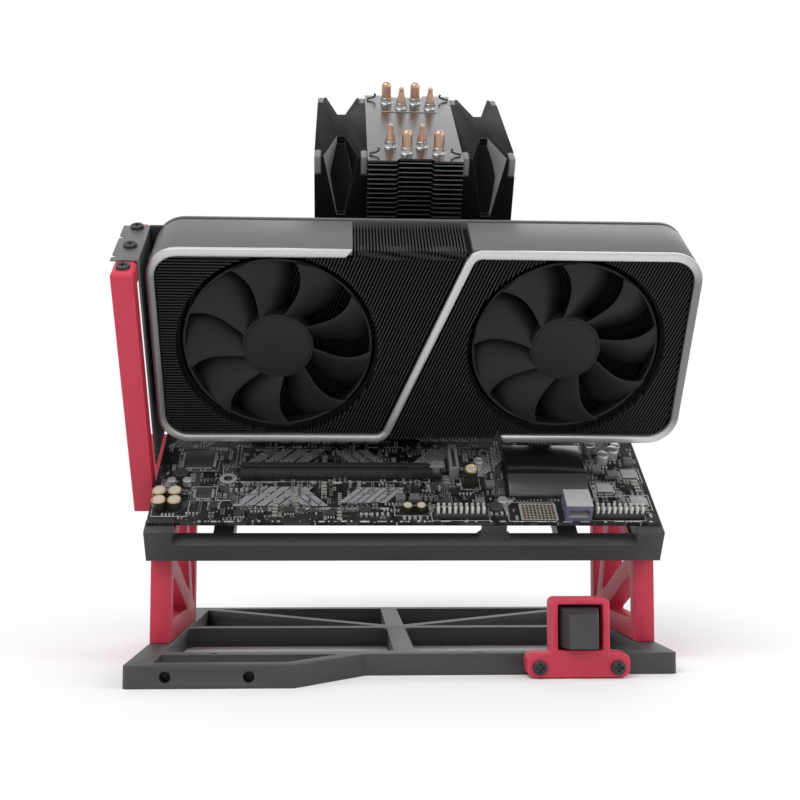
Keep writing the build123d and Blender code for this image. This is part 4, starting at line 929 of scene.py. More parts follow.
def ring_tree():
    """Copies turned about Z in a full ring."""
    tree, start = tree_start("Ring of copies", ("Count", "NodeSocketInt"))
    index = tree.nodes.new("GeometryNodeInputIndex")
    share = maths(tree, "DIVIDE", index.outputs[0], start.outputs["Count"])
    angle = maths(tree, "MULTIPLY", share, math.tau)
    turn = tree.nodes.new("ShaderNodeCombineXYZ")
    tree.links.new(angle, turn.inputs["Z"])
    points = tree.nodes.new("GeometryNodePoints")
    tree.links.new(start.outputs["Count"], points.inputs["Count"])
    return tree_end(tree, start, points.outputs[0], turn.outputs[0])


TREES = {"placed": placed_tree(), "row": row_tree(), "ring": ring_tree()}


def grown(kind, carrier, item, material, place, smooth=SMOOTH, **values):
    """Plain mesh of a tree's copies of an item mesh, set in its place."""
    tree = TREES[kind]
    source = held("item", item)
    holder = held("copies", carrier)
    modifier = holder.modifiers.new("Copies", "NODES")
    modifier.node_group = tree
    sockets = [socket for socket in tree.interface.items_tree if socket.in_out == "INPUT"]
    keys = {socket.name: socket.identifier for socket in sockets}
    modifier[keys["Item"]] = source
    modifier[keys["Finish"]] = FINISHES[material]
    for label, value in values.items():
        modifier[keys[label]] = value
    mesh = plain(holder)
    bpy.data.objects.remove(source)
    mesh.transform(place)
    shade(mesh, smooth)
    return mesh


def placed_copies(item, places, material, place, smooth=SMOOTH):
    """Copies of an item at places, each a position, a turn and a size, with a tone if there is one."""
    carrier = bpy.data.meshes.new("places")
    carrier.from_pydata([entry[0] for entry in places], [], [])
    for label, column in (("turn", 1), ("size", 2)):
        kept = carrier.attributes.new(label, "FLOAT_VECTOR", "POINT")
        kept.data.foreach_set("vector", [part for entry in places for part in entry[column]])
    if len(places[0]) > 3:
        tones = carrier.attributes.new("tone", "FLOAT", "POINT")
        tones.data.foreach_set("value", [entry[3] for entry in places])
    return grown("placed", carrier, item, material, place, smooth)


def row_copies(item, count, first, step, material, place):
    """Row of copies of an item."""
    carrier = bpy.data.meshes.new("row")
    return grown("row", carrier, item, material, place, Count=count, First=first, Step=step)


def ring_copies(item, count, material, place, smooth):
    """Ring of copies of an item round the place's own Z."""
    return grown("ring", bpy.data.meshes.new("ring"), item, material, place, smooth, Count=count)


def copied_piece(name, item, places, material, place=RACK, stands_for=(), smooth=SMOOTH):
    """Fixed piece made of copies of an item."""
    piece(name, placed_copies(item, places, material, place, smooth), None, "bench", stands_for)


def joined(*meshes):
    """One mesh from several that share a finish."""
    bm = bmesh.new()
    for mesh in meshes:
        bm.from_mesh(mesh)
    made = bpy.data.meshes.new("joined")
    bm.to_mesh(made)
    bm.free()
    for mesh in meshes:
        bpy.data.meshes.remove(mesh)
    return made


def box_item(x, y, z, edge=0.0):
    """Small block to repeat."""
    bm = bmesh.new()
    add_box(bm, x, y, z, edge)
    return shaped(bm, ITEM_PLACE)


def turned_item(profile, sides, closed=False, smooth=SMOOTH):
    """Small turned form to repeat."""
    bm = bmesh.new()
    add_lathe(bm, profile, sides, closed)
    return shaped(bm, ITEM_PLACE, smooth)


def block_piece(name, places, material, edge=0.0):
    """Fixed piece made of blocks of any size on the board, from a block of side one."""
    half = (-0.5, 0.5)
    copied_piece(name, box_item(half, half, half, edge), places, material)


def facing(x_axis, y_axis, z_axis, place):
    """Place whose own axes lie along three given directions."""
    turn = Matrix((Vector(x_axis), Vector(y_axis), Vector(z_axis))).transposed()
    return Matrix.Translation(Vector(place)) @ turn.to_4x4()


def front_place(x, y, z):
    """Place whose own Z looks towards the front."""
    return facing((1, 0, 0), (0, 0, 1), (0, -1, 0), (x, y, z))


def side_place(u, v, w):
    """Place whose own Z looks across the board."""
    return facing((0, 1, 0), (0, 0, 1), (1, 0, 0), (u, v, w))


def seen_rays(tree):
    """One for the camera's rays and for reflected and refracted rays."""
    path = tree.nodes.new("ShaderNodeLightPath")
    seen = maths(tree, "MAXIMUM", path.outputs["Is Camera Ray"], path.outputs["Is Glossy Ray"])
    return maths(tree, "MAXIMUM", seen, path.outputs["Is Transmission Ray"])


class StageOperator(bpy.types.Operator):
    """Floor, soft light and the camera at the photograph's angle"""

    bl_idname = "bench.stage"
    bl_label = "Stage"

    def execute(self, context):
        settings = context.scene.bench_stage
        context.scene.view_settings.view_transform = "Standard"
        make_finishes(context.scene.bench_finish, context.scene.bench_print.layer)
        self.floor(settings)
        self.room(context, settings)
        self.lamps(context, settings)
        self.camera(context, settings)
        return {"FINISHED"}

    def floor(self, settings):
        """Pale floor that keeps the shadow."""
        bm = bmesh.new()
        half = settings.floor_size / MM / 2
        add_box(bm, (-half, half), (-half, half), (-20.0, 0.0))
        mesh = shaped(bm, BENCH)
        tone = settings.floor_tone
        material = finish(
            "pale_floor", (tone, tone, tone), 0.7, contrast=0.015, strength=0.02, shine=0.1, Scale=40.0)
        self.fade(material, settings.fade_start, settings.fade_end)
        mesh.materials.append(material)
        held("floor", mesh)

    def fade(self, material, near, far):
        """Turns the floor white away from the object, for the camera and for reflections."""
        tree = material.node_tree
        coords = next(node for node in tree.nodes if node.type == "TEX_COORD")
        away = tree.nodes.new("ShaderNodeVectorMath")
        away.operation = "LENGTH"
        tree.links.new(coords.outputs["Object"], away.inputs[0])
        spread = tree.nodes.new("ShaderNodeMapRange")
        spread.interpolation_type = "SMOOTHSTEP"
        spread.inputs["From Min"].default_value = near
        spread.inputs["From Max"].default_value = far
        tree.links.new(away.outputs["Value"], spread.inputs["Value"])
        white = tree.nodes.new("ShaderNodeEmission")
        white.inputs["Strength"].default_value = 1.0
        mix = tree.nodes.new("ShaderNodeMixShader")
        share = maths(tree, "MULTIPLY", spread.outputs["Result"], seen_rays(tree))
        tree.links.new(share, mix.inputs[0])
        tree.links.new(tree.nodes["Principled BSDF"].outputs[0], mix.inputs[1])
        tree.links.new(white.outputs[0], mix.inputs[2])
        tree.links.new(mix.outputs[0], tree.nodes["Material Output"].inputs["Surface"])

    def room(self, context, settings):
        """Even light, with a white background for the camera and for reflections."""
        world = bpy.data.worlds.new("room")
        context.scene.world = world
        world.use_nodes = True
        tree = world.node_tree
        even = tree.nodes["Background"]
        even.inputs["Color"].default_value = (0.96, 0.98, 1.0, 1.0)
        even.inputs["Strength"].default_value = settings.room_light
        white = tree.nodes.new("ShaderNodeBackground")
        white.inputs["Color"].default_value = (1.0, 1.0, 1.0, 1.0)
        white.inputs["Strength"].default_value = 1.0
        mix = tree.nodes.new("ShaderNodeMixShader")
        tree.links.new(seen_rays(tree), mix.inputs[0])
        tree.links.new(even.outputs[0], mix.inputs[1])
        tree.links.new(white.outputs[0], mix.inputs[2])
        tree.links.new(mix.outputs[0], tree.nodes["World Output"].inputs["Surface"])

    def lamps(self, context, settings):
        """Large soft lamps above the front, at the right and behind."""
        target = Vector((0.0, 0.0, 0.13))
        lamps = (
            ("key_lamp", (-0.5, -0.75, 1.15), 0.9, settings.key_light),
            ("side_lamp", (1.0, -0.5, 0.6), 0.8, settings.key_light * 0.35),
            ("back_lamp", (0.3, 1.0, 0.9), 0.8, settings.key_light * 0.4),
        )
        for name, place, size, power in lamps:
            light = bpy.data.lights.new(name, "AREA")
            light.energy = power
            light.size = size
            lamp = bpy.data.objects.new(name, light)
            lamp.location = place
            lamp.rotation_euler = (target - Vector(place)).to_track_quat("-Z", "Y").to_euler()
            context.scene.collection.objects.link(lamp)

    def camera(self, context, settings):
        """Camera a little under the card's middle, turned slightly to the right and up."""
        data = bpy.data.cameras.new("camera")
        data.lens = settings.lens
        data.sensor_width = 36.0
        data.clip_start = 0.01
        made = bpy.data.objects.new("camera", data)
        pitch, yaw, roll = math.radians(CAMERA_PITCH), math.radians(CAMERA_YAW), math.radians(CAMERA_ROLL)
        ahead = Vector((math.sin(yaw) * math.cos(pitch), math.cos(yaw) * math.cos(pitch), math.sin(pitch)))
        level = ahead.to_track_quat("-Z", "Y")
        made.rotation_mode = "QUATERNION"
        made.rotation_quaternion = level @ Matrix.Rotation(roll, 3, "Z").to_quaternion()
        made.location = Vector(CAMERA_PLACE) * MM
        context.scene.collection.objects.link(made)
        context.scene.camera = made


class PrintsOperator(bpy.types.Operator):
    """Printed base, legs, tray, slot post and key holder"""

    bl_idname = "bench.prints"
    bl_label = "Printed frame"

    def execute(self, context):
        edge = context.scene.bench_print.edge / MM
        dressed_nodes(
            ("base_frame", edge, "frame_grey", "frame_grey"),
            ("board_tray", edge, "tray_grey", "frame_grey"),
            ("left_leg", edge, "leg_red", "holder_red"),
            ("right_leg", edge, "leg_red", "holder_red"),
            ("slot_post", edge, "leg_red", "holder_red"),
            ("key_holder", edge, "holder_red", "holder_red"))
        return {"FINISHED"}


class FastenersOperator(bpy.types.Operator):
    """Screws of the slot post, key holder, board and frame"""

    bl_idname = "bench.fasteners"
    bl_label = "Fasteners"

    def execute(self, context):
        recess = context.scene.bench_print.recess / MM
        front = (math.radians(90), 0.0, 0.0)
        seats = []
        for step, tab in enumerate((TAB_THICKNESS, TAB_THICKNESS, 0.0)):
            seats.append((POST_U, GRAPHICS_SLOT_V - step * SLOT_PITCH, POST_TOP + tab))
        screw = self.screw(3.0, 1.5, 1.45, 8.0, recess)
        self.seated("slot_screw_set", screw, seats, STILL, RACK, "screw_steel", ("slot_screws",))
        seats = []
        for side in (-HOLDER_SCREW_REACH, HOLDER_SCREW_REACH):
            seats.append((HOLDER_X + side, HOLDER_FRONT_Y, HOLDER_SCREW_Z))
        screw = self.screw(3.0, 1.5, 1.45, 18.4, recess)
        self.seated("holder_screw_set", screw, seats, front, BENCH, "screw_steel", ("holder_screws",))
        seats = [(x, y, BASE_TOP) for x, y in RAIL_SCREWS]
        screw = self.screw(1.6, 0.25, 0.8, 3.0, 0.7)
        self.seated("rail_screw_set", screw, seats, STILL, BENCH, "screw_steel")
        seats = [(u, v, RING_HEIGHT) for u, v in BOARD_HOLES[1:]]
        screw = self.screw(3.1, 1.7, 1.5, 5.0, recess)
        self.seated("board_screw_set", screw, seats, STILL, RACK, "bracket_steel")
        return {"FINISHED"}

    def seated(self, name, screw, seats, turn, place, material, stands_for=()):
        """Set of equal screws on their seats."""
        places = [(seat, turn, FULL) for seat in seats]
        copied_piece(name, screw, places, material, place, stands_for)

    def screw(self, head, rise, shank, length, recess):
        """Pan head screw along -Z with a cross recess and its bearing face at the origin."""
        arm, slim = recess, recess * 0.28
        middle = (arm + slim) / 2
        corner = ((arm, 0.0), (arm, slim), (middle, slim), (slim, slim), (slim, middle), (slim, arm))
        cross = []
        for turn in range(4):
            angle = math.radians(90 * turn)
            cosine, sine = math.cos(angle), math.sin(angle)
            cross += [(x * cosine - y * sine, x * sine + y * cosine) for x, y in corner]
        sides = len(cross)
        rings = [circle(shank, -length, sides), circle(shank, 0, sides), circle(head, 0, sides)]
        rings.append(circle(head, rise * 0.62, sides))
        rings.append(circle(head * 0.95, rise * 0.9, sides))
        rings.append(circle(head * 0.87, rise, sides))
        rings.append([(x, y, rise) for x, y in cross])
        rings.append([(x * 0.8, y * 0.8, rise * 0.35) for x, y in cross])
        bm = bmesh.new()
        add_rings(bm, rings)
        return shaped(bm, ITEM_PLACE)


class PowerKeyOperator(bpy.types.Operator):
    """Power key with a dished top, and its switch"""

    bl_idname = "bench.power_key"
    bl_label = "Power key"

    def execute(self, context):
        dressed_node("key_switch", 0.35, "switch_plastic", "switch_plastic")
        bm = bmesh.new()
        loops = []
        for share, dip in ((0.12, 0.75), (0.35, 0.7), (0.6, 0.5), (0.82, 0.22)):
            loops.append(self.loop(11.0 * share, 13.1 * share, 0.6 * share, KEY_HEIGHT - dip))
        outer = (
            (11.2, 13.3, 0.5, 11.58), (11.8, 13.9, 0.7, 11.55), (12.2, 14.3, 0.9, 11.2),
            (17.2, 17.2, 0.8, 0.4), (17.4, 17.4, 0.8, 0.1), (17.2, 17.2, 0.7, 0.0),
            (14.8, 14.8, 0.5, 0.0), (10.9, 13.0, 0.5, 10.3),
        )
        loops += [self.loop(*row) for row in outer]
        add_rings(bm, loops)
        add_box(bm, (-2.95, 2.95), (-2.95, 2.95), (-2.15, 10.4), 0.3)
        place = BENCH @ front_place(KEY_X, KEY_FOOT_Y, KEY_Z)
        piece("keycap_body", shaped(bm, place, 34.0), "key_plastic", "power_key", ("keycap",))
        return {"FINISHED"}

    def loop(self, width, height, radius, level):
        """Round cornered oblong at a height, which drops as the cap rises."""
        drop = level / KEY_HEIGHT
        points = rounded_outline(-width / 2, width / 2, -height / 2, height / 2, radius, 5)
        return [(x, y - drop, level) for x, y in points]


class CardBodyOperator(bpy.types.Operator):
    """Card's trim, walls, cover, board, bracket and sockets"""

    bl_idname = "bench.card_body"
    bl_label = "Card body"

    def execute(self, context):
        edge = context.scene.bench_card.trim_edge / MM
        self.runs(dressed_node("card_trim", edge, "trim_silver", "trim_silver"))
        made = dressed_node("card_housing", 0.4, "card_grey", "card_grey")
        # The walls' faces that look into the card are painted near-black as painted shade.
        painted(made, "card_shade_black", self.inward)
        dressed_nodes(
            ("card_backplate", 0.4, "card_grey", "card_grey"),
            ("card_board", 0.12, "card_board", "board_black"),
            ("card_bracket", 0.16, "tab_grey", "bracket_steel"),
            ("card_ports", 0.2, "bracket_steel", "bracket_steel"),
            ("card_motors", 0.4, "motor_black", "motor_black"))
        return {"FINISHED"}

    def inward(self, spot, way):
        """Whether a face of the walls looks into the card, and so gets painted shade."""
        least_w, least_u = 10, 20
        middle_w = (CARD_LOW + CARD_HIGH) / 2
        middle_u = (CARD_LEFT + CARD_RIGHT) / 2
        return (middle_w - spot.z) * way.z > least_w or (middle_u - spot.x) * way.x > least_u

    def runs(self, made):
        """Keeps on the trim how far each stretch lies across the card, from upright to level, which sets the
        trim's painted shade.
        """
        mesh = made.data
        inverse = RACK.inverted()
        shade_levels = []
        for vert in mesh.vertices:
            spot = inverse @ vert.co
            side = max(CARD_LEFT + CARD_CORNER - spot.x, spot.x - CARD_RIGHT + CARD_CORNER)
            end = max(CARD_LOW + CARD_CORNER - spot.z, spot.z - CARD_HIGH + CARD_CORNER, 0.0)
            share = (spot.z - CARD_LOW) / (CARD_HIGH - CARD_LOW)
            level = 1.0
            if side > 0:
                level = end / math.hypot(side, end)
            elif 0.06 < share < 0.94 and DIAGONAL_FOOT - 10.7 < spot.x < DIAGONAL_HEAD + 12.8:
                # Painted shade on the diagonal stretch: darker at its foot, lighter towards its head.
                level = 0.25 + 0.6 * share
            shade_levels.append(level)
        kept = mesh.attributes.new("run", "FLOAT", "POINT")
        kept.data.foreach_set("value", shade_levels)


class CardFinsOperator(bpy.types.Operator):
    """Card's finned block: level fins at the left and leaning fins elsewhere"""

    bl_idname = "bench.card_fins"
    bl_label = "Card fins"

    def execute(self, context):
        settings = context.scene.bench_card
        pitch = settings.fin_pitch / MM
        thickness = settings.fin_thickness / MM
        wall = CARD_WALL
        left, right = CARD_LEFT + wall, CARD_RIGHT - wall
        low, high = CARD_LOW + wall, CARD_HIGH - wall
        bm = bmesh.new()
        outline = rounded_outline(left, right, low, high, CARD_CORNER - wall)
        bays = [disc(u, CARD_FAN_W, BAY_RADIUS) for u in CARD_FAN_U]
        add_plate(bm, outline, -BAY_FLOOR, -CORE_FACE, bays)
        add_plate(bm, outline, -CARD_BACK, -BAY_FLOOR)
        plan = front_place(0, 0, 0)
        core = shaped(bm, RACK @ plan)
        half = (-0.5, 0.5)
        places = self.ridges(pitch, thickness)
        ridges = placed_copies(box_item(half, half, half), places, "card_fin_black", RACK @ plan)
        first, last = TRIM_TOP_END + 0.9, DIAGONAL_HEAD - wall / 2 - 0.5
        slat = box_item((-thickness / 2, thickness / 2), (FIN_FACE, CARD_BACK), (high - 1, CARD_HIGH - 0.5))
        count = int((last - first) / pitch) + 1
        band = row_copies(slat, count, (first, 0, 0), (pitch, 0, 0), "card_fin_black", RACK)
        # The core plate behind the fins is painted near-black as painted shade between them.
        piece("card_fin_core", core, "card_shade_black", "bench")
        fins = joined(ridges, band)
        piece("card_fin_block", fins, "card_fin_black", "bench", ("card_fins",))
        return {"FINISHED"}

    def ridges(self, pitch, thickness):
        """Places of the fins' front edges between the walls, the fans and the trim."""
        lean = math.atan2(DIAGONAL_HEAD - DIAGONAL_FOOT, CARD_HIGH - CARD_LOW - CARD_WALL)
        border = CARD_FAN_U[0]
        depth = CORE_FACE - FIN_FACE + FIN_LIP
        middle = -(FIN_FACE + depth / 2)
        places = []
        w = CARD_LOW + CARD_WALL + pitch / 2
        while w < CARD_HIGH - CARD_WALL:
            for start, end in self.runs((CARD_LEFT, w), (1, 0), border - CARD_LEFT):
                centre = CARD_LEFT + (start + end) / 2
                places.append(((centre, w, middle), STILL, (end - start, thickness, depth)))
            w += pitch
        step = pitch / math.cos(lean)
        reach = (CARD_HIGH - CARD_LOW) / math.cos(lean)
        along = (math.sin(lean), math.cos(lean))
        u = border + step / 2 - (CARD_HIGH - CARD_LOW) * math.tan(lean)
        turn = (0.0, 0.0, math.radians(90) - lean)
        while u < CARD_RIGHT:
            for start, end in self.runs((u, CARD_LOW), along, reach, border + 0.8):
                centre = (start + end) / 2
                place = (u + along[0] * centre, CARD_LOW + along[1] * centre, middle)
                places.append((place, turn, (end - start, thickness, depth)))
            u += step
        return places + self.bay_ridges(lean, pitch, thickness)

    def bay_ridges(self, lean, pitch, thickness):
        """Places of the fins behind the fans."""
        low, high = MOTOR_CLEAR, BAY_RADIUS - FIN_LIP
        level = BAY_FIN_RISE - BAY_FLOOR
        turn = (0.0, 0.0, math.radians(90) - lean)
        places = []
        for centre in CARD_FAN_U:
            for step in range(-int(high / pitch), int(high / pitch) + 1):
                aside = step * pitch
                reach = math.sqrt(high**2 - aside**2)
                inner = math.sqrt(low**2 - aside**2) if abs(aside) < low else 0.0
                for side in (-1, 1):
                    middle = side * (reach + inner) / 2
                    u = centre + aside * math.cos(lean) + middle * math.sin(lean)
                    w = CARD_FAN_W - aside * math.sin(lean) + middle * math.cos(lean)
                    places.append(((u, w, level), turn, (reach - inner, thickness, BAY_FIN_DEPTH)))
        return places

    def runs(self, foot, along, length, left=CARD_LEFT):
        """Stretches of a line that lie in the open finned field."""
        found = []
        begin = None
        for count in range(int(length / FIN_SAMPLE) + 1):
            far = count * FIN_SAMPLE
            u, w = foot[0] + along[0] * far, foot[1] + along[1] * far
            free = u >= left and self.open_field(u, w)
            if free and begin is None:
                begin = far
            if begin is not None and not free:
                if far - begin > SHORTEST_FIN:
                    found.append((begin, far - FIN_SAMPLE))
                begin = None
        if begin is not None and length - begin > SHORTEST_FIN:
            found.append((begin, length))
        return found

    def open_field(self, u, w):
        """Whether a point of the card's face is free of walls, fans and trim."""
        wall = CARD_WALL + FIN_CLEAR
        if not CARD_LEFT + wall < u < CARD_RIGHT - wall:
            return False
        low, high = CARD_LOW + wall, CARD_HIGH - wall
        beside_ribbon, beside_end = 3, 2
        if DIAGONAL_FOOT + beside_ribbon < u < TRIM_BOTTOM_END - beside_end:
            low = CARD_LOW + FIN_LIP
        if TRIM_TOP_END + beside_end < u < DIAGONAL_HEAD - beside_ribbon:
            high = CARD_HIGH - FIN_LIP
        if not low < w < high:
            return False
        radius = CARD_CORNER - CARD_WALL
        inner_u = min(max(u, CARD_LEFT + CARD_CORNER), CARD_RIGHT - CARD_CORNER)
        inner_w = min(max(w, CARD_LOW + CARD_CORNER), CARD_HIGH - CARD_CORNER)
        open_side = low < CARD_LOW + 1 or high > CARD_HIGH - 1
        if math.hypot(u - inner_u, w - inner_w) > radius - FIN_CLEAR and not open_side:
            return False
        if any(math.hypot(u - middle, w - CARD_FAN_W) < BAY_RADIUS + BAY_CLEAR for middle in CARD_FAN_U):
            return False
        share = (w - CARD_LOW - CARD_WALL / 2) / (CARD_HIGH - CARD_LOW - CARD_WALL)
        ribbon = DIAGONAL_FOOT + (DIAGONAL_HEAD - DIAGONAL_FOOT) * share
        lean_share, clear = 1.08, 0.5
        return abs(u - ribbon) > CARD_WALL / 2 * lean_share + clear


def blade_rings(root, tip, chords, pitches, sweep, bow, camber, thickness):
    """Sections of a swept, bowed and twisted blade round Z, centred on z = 0."""
    rows = 12
    shares = (-1.0, -0.94, -0.7, -0.35, 0.0, 0.35, 0.7, 0.94, 1.0)
    outline = [(1, along) for along in shares] + [(-1, along) for along in reversed(shares[1:-1])]
    rings = []
    for row in range(rows + 1):
        share = row / rows
        radius = root + (tip - root) * share
        chord = chords[0] + (chords[1] - chords[0]) * share
        pitch = math.radians(pitches[0] + (pitches[1] - pitches[0]) * share)
        middle = math.radians(sweep) * share**1.5 + math.radians(bow) * 4 * share * (1 - share)
        ring = []
        for side, along in outline:
            reach = along * chord / 2
            body = thickness / 2 * math.sqrt(max(0.0, 1 - along**6))
            lift = side * body + camber * chord * (1 - along * along)
            turn = middle + (reach * math.cos(pitch) - lift * math.sin(pitch)) / radius
            height = reach * math.sin(pitch) + lift * math.cos(pitch)
            ring.append((radius * math.cos(turn), radius * math.sin(turn), height))
        rings.append(ring)
    return rings


def add_rotor(name, node, place, rings, level, count, material, profile, rim=()):
    """Fan rotor on its own body: a ring of blades round a turned hub, with a rim if it has one."""
    bm = bmesh.new()
    add_rings(bm, rings)
    blade = shaped(bm, Matrix.Translation((0, 0, level)), SMOOTH_BLADE)
    blades = ring_copies(blade, count, material, place, SMOOTH_BLADE)
    bm = bmesh.new()
    add_lathe(bm, profile, 64)
    if rim:
        add_lathe(bm, rim, 96, True)
    hub = shaped(bm, place, SMOOTH_HUB)
    piece(name, joined(blades, hub), material, name, (node,))


class CardFansOperator(bpy.types.Operator):
    """Card's two fan rotors, each with a hub, bowed blades and a thin rim"""

    bl_idname = "bench.card_fans"
    bl_label = "Card fans"

    def execute(self, context):
        count = context.scene.bench_card.blades
        rings = blade_rings(14.8, 41.7, (13.7, 25.7), (40, 20), 1.0, -7.1, 0.05, 1.2)
        hub = (
            (0.01, 8.0), (1.55, 8.0), (1.55, 0.0), (15.7, 0.0), (16.0, 0.3), (16.0, 8.9), (15.7, 9.4),
            (15.1, 9.55), (14.9, 9.3), (14.5, 9.3), (14.3, 9.6), (13.6, 9.75), (0.01, 9.8),
        )
        rim = (
            (41.1, 2.3), (41.35, 2.0), (42.05, 2.0), (42.3, 2.3), (42.3, 7.7), (42.05, 8.0), (41.35, 8.0),
            (41.1, 7.7),
        )
        for side, u in zip(("left", "right"), CARD_FAN_U):
            turn = Matrix.Rotation(math.radians(CARD_FAN_REST[side]), 4, "Z")
            place = RACK @ front_place(u, CARD_FAN_BACK, CARD_FAN_W) @ turn
            name, node = f"card_fan_{side}_rotor", f"card_fan_{side}"
            add_rotor(name, node, place, rings, 5.0, count, "fan_black", hub, rim)
        return {"FINISHED"}


class CoolerStackOperator(bpy.types.Operator):
    """Fin stack of the tower cooler with its top plate"""

    bl_idname = "bench.cooler_stack"
    bl_label = "Cooler fins"

    def execute(self, context):
        settings = context.scene.bench_cooler
        thickness = settings.fin_thickness / MM
        bm = bmesh.new()
        add_plate(bm, self.outline(), 0, thickness)
        fin = shaped(bm, ITEM_PLACE)
        step = (COOLER_TOP - PLATE_THICKNESS - PLATE_GAP - FIN_BOTTOM) / (settings.fins - 1)
        place = RACK @ Matrix.Translation((COOLER_U, COOLER_V, 0))
        stack = row_copies(fin, settings.fins, (0, 0, FIN_BOTTOM), (0, 0, step), "fin_dark", place)
        made = piece("cooler_fin_stack", stack, "fin_dark", "bench", ("cooler_fins",))
        painted(made, "fin_edge", lambda spot, way: abs(way.z) < 0.5)
        bm = bmesh.new()
        add_plate(bm, self.outline(), COOLER_TOP - PLATE_THICKNESS, COOLER_TOP)
        piece("cooler_top_plate", shaped(bm, place), "plate_grey", "bench")
        bm = bmesh.new()
        add_box(bm, (-14.5, 14.5), (22.2, 22.9), (COOLER_TOP - 0.1, COOLER_TOP + 0.4), 0.2)
        piece("plate_rib", shaped(bm, place), "collar_nickel", "bench")
        self.clips(place)
        dressed_nodes(
            ("cooler_base", 0.4, "collar_nickel", "pipe_copper"),
            ("cooler_clamp", 0.25, "bracket_steel", "bracket_steel"))
        return {"FINISHED"}

    def clips(self, place):
        """Wire hooks that hold the fans at the plate's corners."""
        bm = bmesh.new()
        shape = ((0.0, 0.0), (-2.4, 0.5), (-4.2, 1.3), (-4.6, 2.2), (-3.8, 2.7))
        level = COOLER_TOP + CLIP_RADIUS
        reach_u, reach_v = FIN_WIDTH / 2 - 0.9, FIN_DEPTH / 2 - 8.0
        for side in (-1, 1):
            for end in (-1, 1):
                u, v = side * reach_u, end * reach_v
                path = [(u + side * reach, v, level + rise) for reach, rise in shape]
                add_tube(bm, path, [CLIP_RADIUS] * len(path), 8, Vector((0, 1, 0)))
        piece("fan_clips", shaped(bm, place, 60.0), "switch_plastic", "bench")

    def outline(self):
        """Fin's outline with a notch at its front and back."""
        half_u, half_v = FIN_WIDTH / 2, FIN_DEPTH / 2
        inner = FIN_WIDTH / 6
        outer = inner + FIN_STEP
        quarter = [(half_u, half_v), (outer, half_v), (inner, half_v - FIN_NOTCH)]
        top = quarter + [(-x, y) for x, y in reversed(quarter)]
        return top + [(-x, -y) for x, y in top]


class HeatPipesOperator(bpy.types.Operator):
    """Bent heat pipes with drawn tips and collars on the top plate"""

    bl_idname = "bench.heat_pipes"
    bl_label = "Heat pipes"

    def execute(self, context):
        bm = bmesh.new()
        collars = []
        for step in range(4):
            u = COOLER_U + PIPE_PITCH * (step - 1.5)
            sharp_front = step % 2 == 0
            middle = COOLER_V + (PIPE_STAGGER if sharp_front else -PIPE_STAGGER)
            front, back = middle - PIPE_SPAN / 2, middle + PIPE_SPAN / 2
            path, radii = self.run(u, front, back, sharp_front)
            add_tube(bm, path, radii, 24)
            collars += [((u, v, COOLER_TOP), STILL, FULL) for v in (front, back)]
        pipes = shaped(bm, RACK, 40.0)
        piece("heat_pipe_set", pipes, "pipe_copper", "bench", ("heat_pipes",))
        profile = ((2.53, 0.0), (3.5, 0.0), (3.1, 0.35), (2.8, 1.2), (2.72, 2.6), (2.53, 2.8))
        collar = turned_item(profile, 32, True)
        copied_piece("pipe_collar_set", collar, collars, "collar_nickel")
        return {"FINISHED"}

    def dome(self, radius, turns):
        """Drops and radii of a round end."""
        angles = [math.radians(turn) for turn in turns]
        return [(radius * (1 - math.cos(angle)), radius * math.sin(angle)) for angle in angles]

    def run(self, u, front, back, sharp_front):
        """Path from one tip down, along the contact block and up to the other tip."""
        rise = PIPE_LEVEL + PIPE_BEND
        neck = [(2.2, 1.2), (3.2, 1.45), (6.6, 2.15), (8.6, PIPE_RADIUS)]
        bottle = self.dome(1.25, (6, 30, 60, 90)) + neck
        plain_tip = self.dome(PIPE_RADIUS, (6, 25, 45, 65, 90))
        first, last = (bottle, plain_tip) if sharp_front else (plain_tip, bottle)
        turns = [math.radians(90 * step / 8) for step in range(9)]
        bends = []
        for turn in turns:
            bends.append((u, front + PIPE_BEND * (1 - math.cos(turn)), rise - PIPE_BEND * math.sin(turn)))
        for turn in turns:
            bends.append((u, back - PIPE_BEND * (1 - math.sin(turn)), rise - PIPE_BEND * math.cos(turn)))
        path = [(u, front, PIPE_TOP - drop) for drop, radius in first] + bends
        path += [(u, back, PIPE_TOP - drop) for drop, radius in reversed(last)]
        radii = [radius for drop, radius in first] + [PIPE_RADIUS] * len(bends)
        radii += [radius for drop, radius in reversed(last)]
        return path, radii


class CoolerFansOperator(bpy.types.Operator):
    """Cooler's two fans: frames, corner pads and rotors"""

    bl_idname = "bench.cooler_fans"
    bl_label = "Cooler fans"

    def execute(self, context):
        count = context.scene.bench_cooler.blades
        rings = blade_rings(16.0, 42.4, (16.3, 23.4), (46, 30), 20.0, 0.0, 0.05, 1.3)
        hub = (
            (0.01, 19.9), (1.56, 19.9), (1.56, 3.5), (16.6, 3.5), (17.0, 3.9), (17.0, 21.6), (16.2, 22.6),
            (15.2, 23.0), (0.01, 23.0),
        )
        for side, inward, u in zip(("left", "right"), (1.0, -1.0), COOLER_FAN_U):
            made = dressed_node(f"fan_frame_{side}", 0.5, "fan_frame_grey", "fan_frame_grey")
            middle = u + COOLER_FAN_DEPTH / 2
            # The flanges' slanting sides that face the stack are painted grey as painted light.
            painted(made, "painted_light_flange", lambda spot, way: self.flange_back(spot.x - middle, way.x * inward))
            dressed_node(f"fan_pads_{side}", 0.8, "pad_rubber", "pad_rubber")
            place = RACK @ side_place(u, COOLER_V, COOLER_FAN_W)
            name, node = f"cooler_fan_{side}_rotor", f"fan_rotor_{side}"
            add_rotor(name, node, place, rings, 13.25, count, "rotor_grey", hub)
        return {"FINISHED"}

    def flange_back(self, depth, lean):
        """Whether a face is the slanting inner side of a frame's flange, which gets painted light."""
        return 0.9 < lean < 0.99 and abs(depth) < 9.0


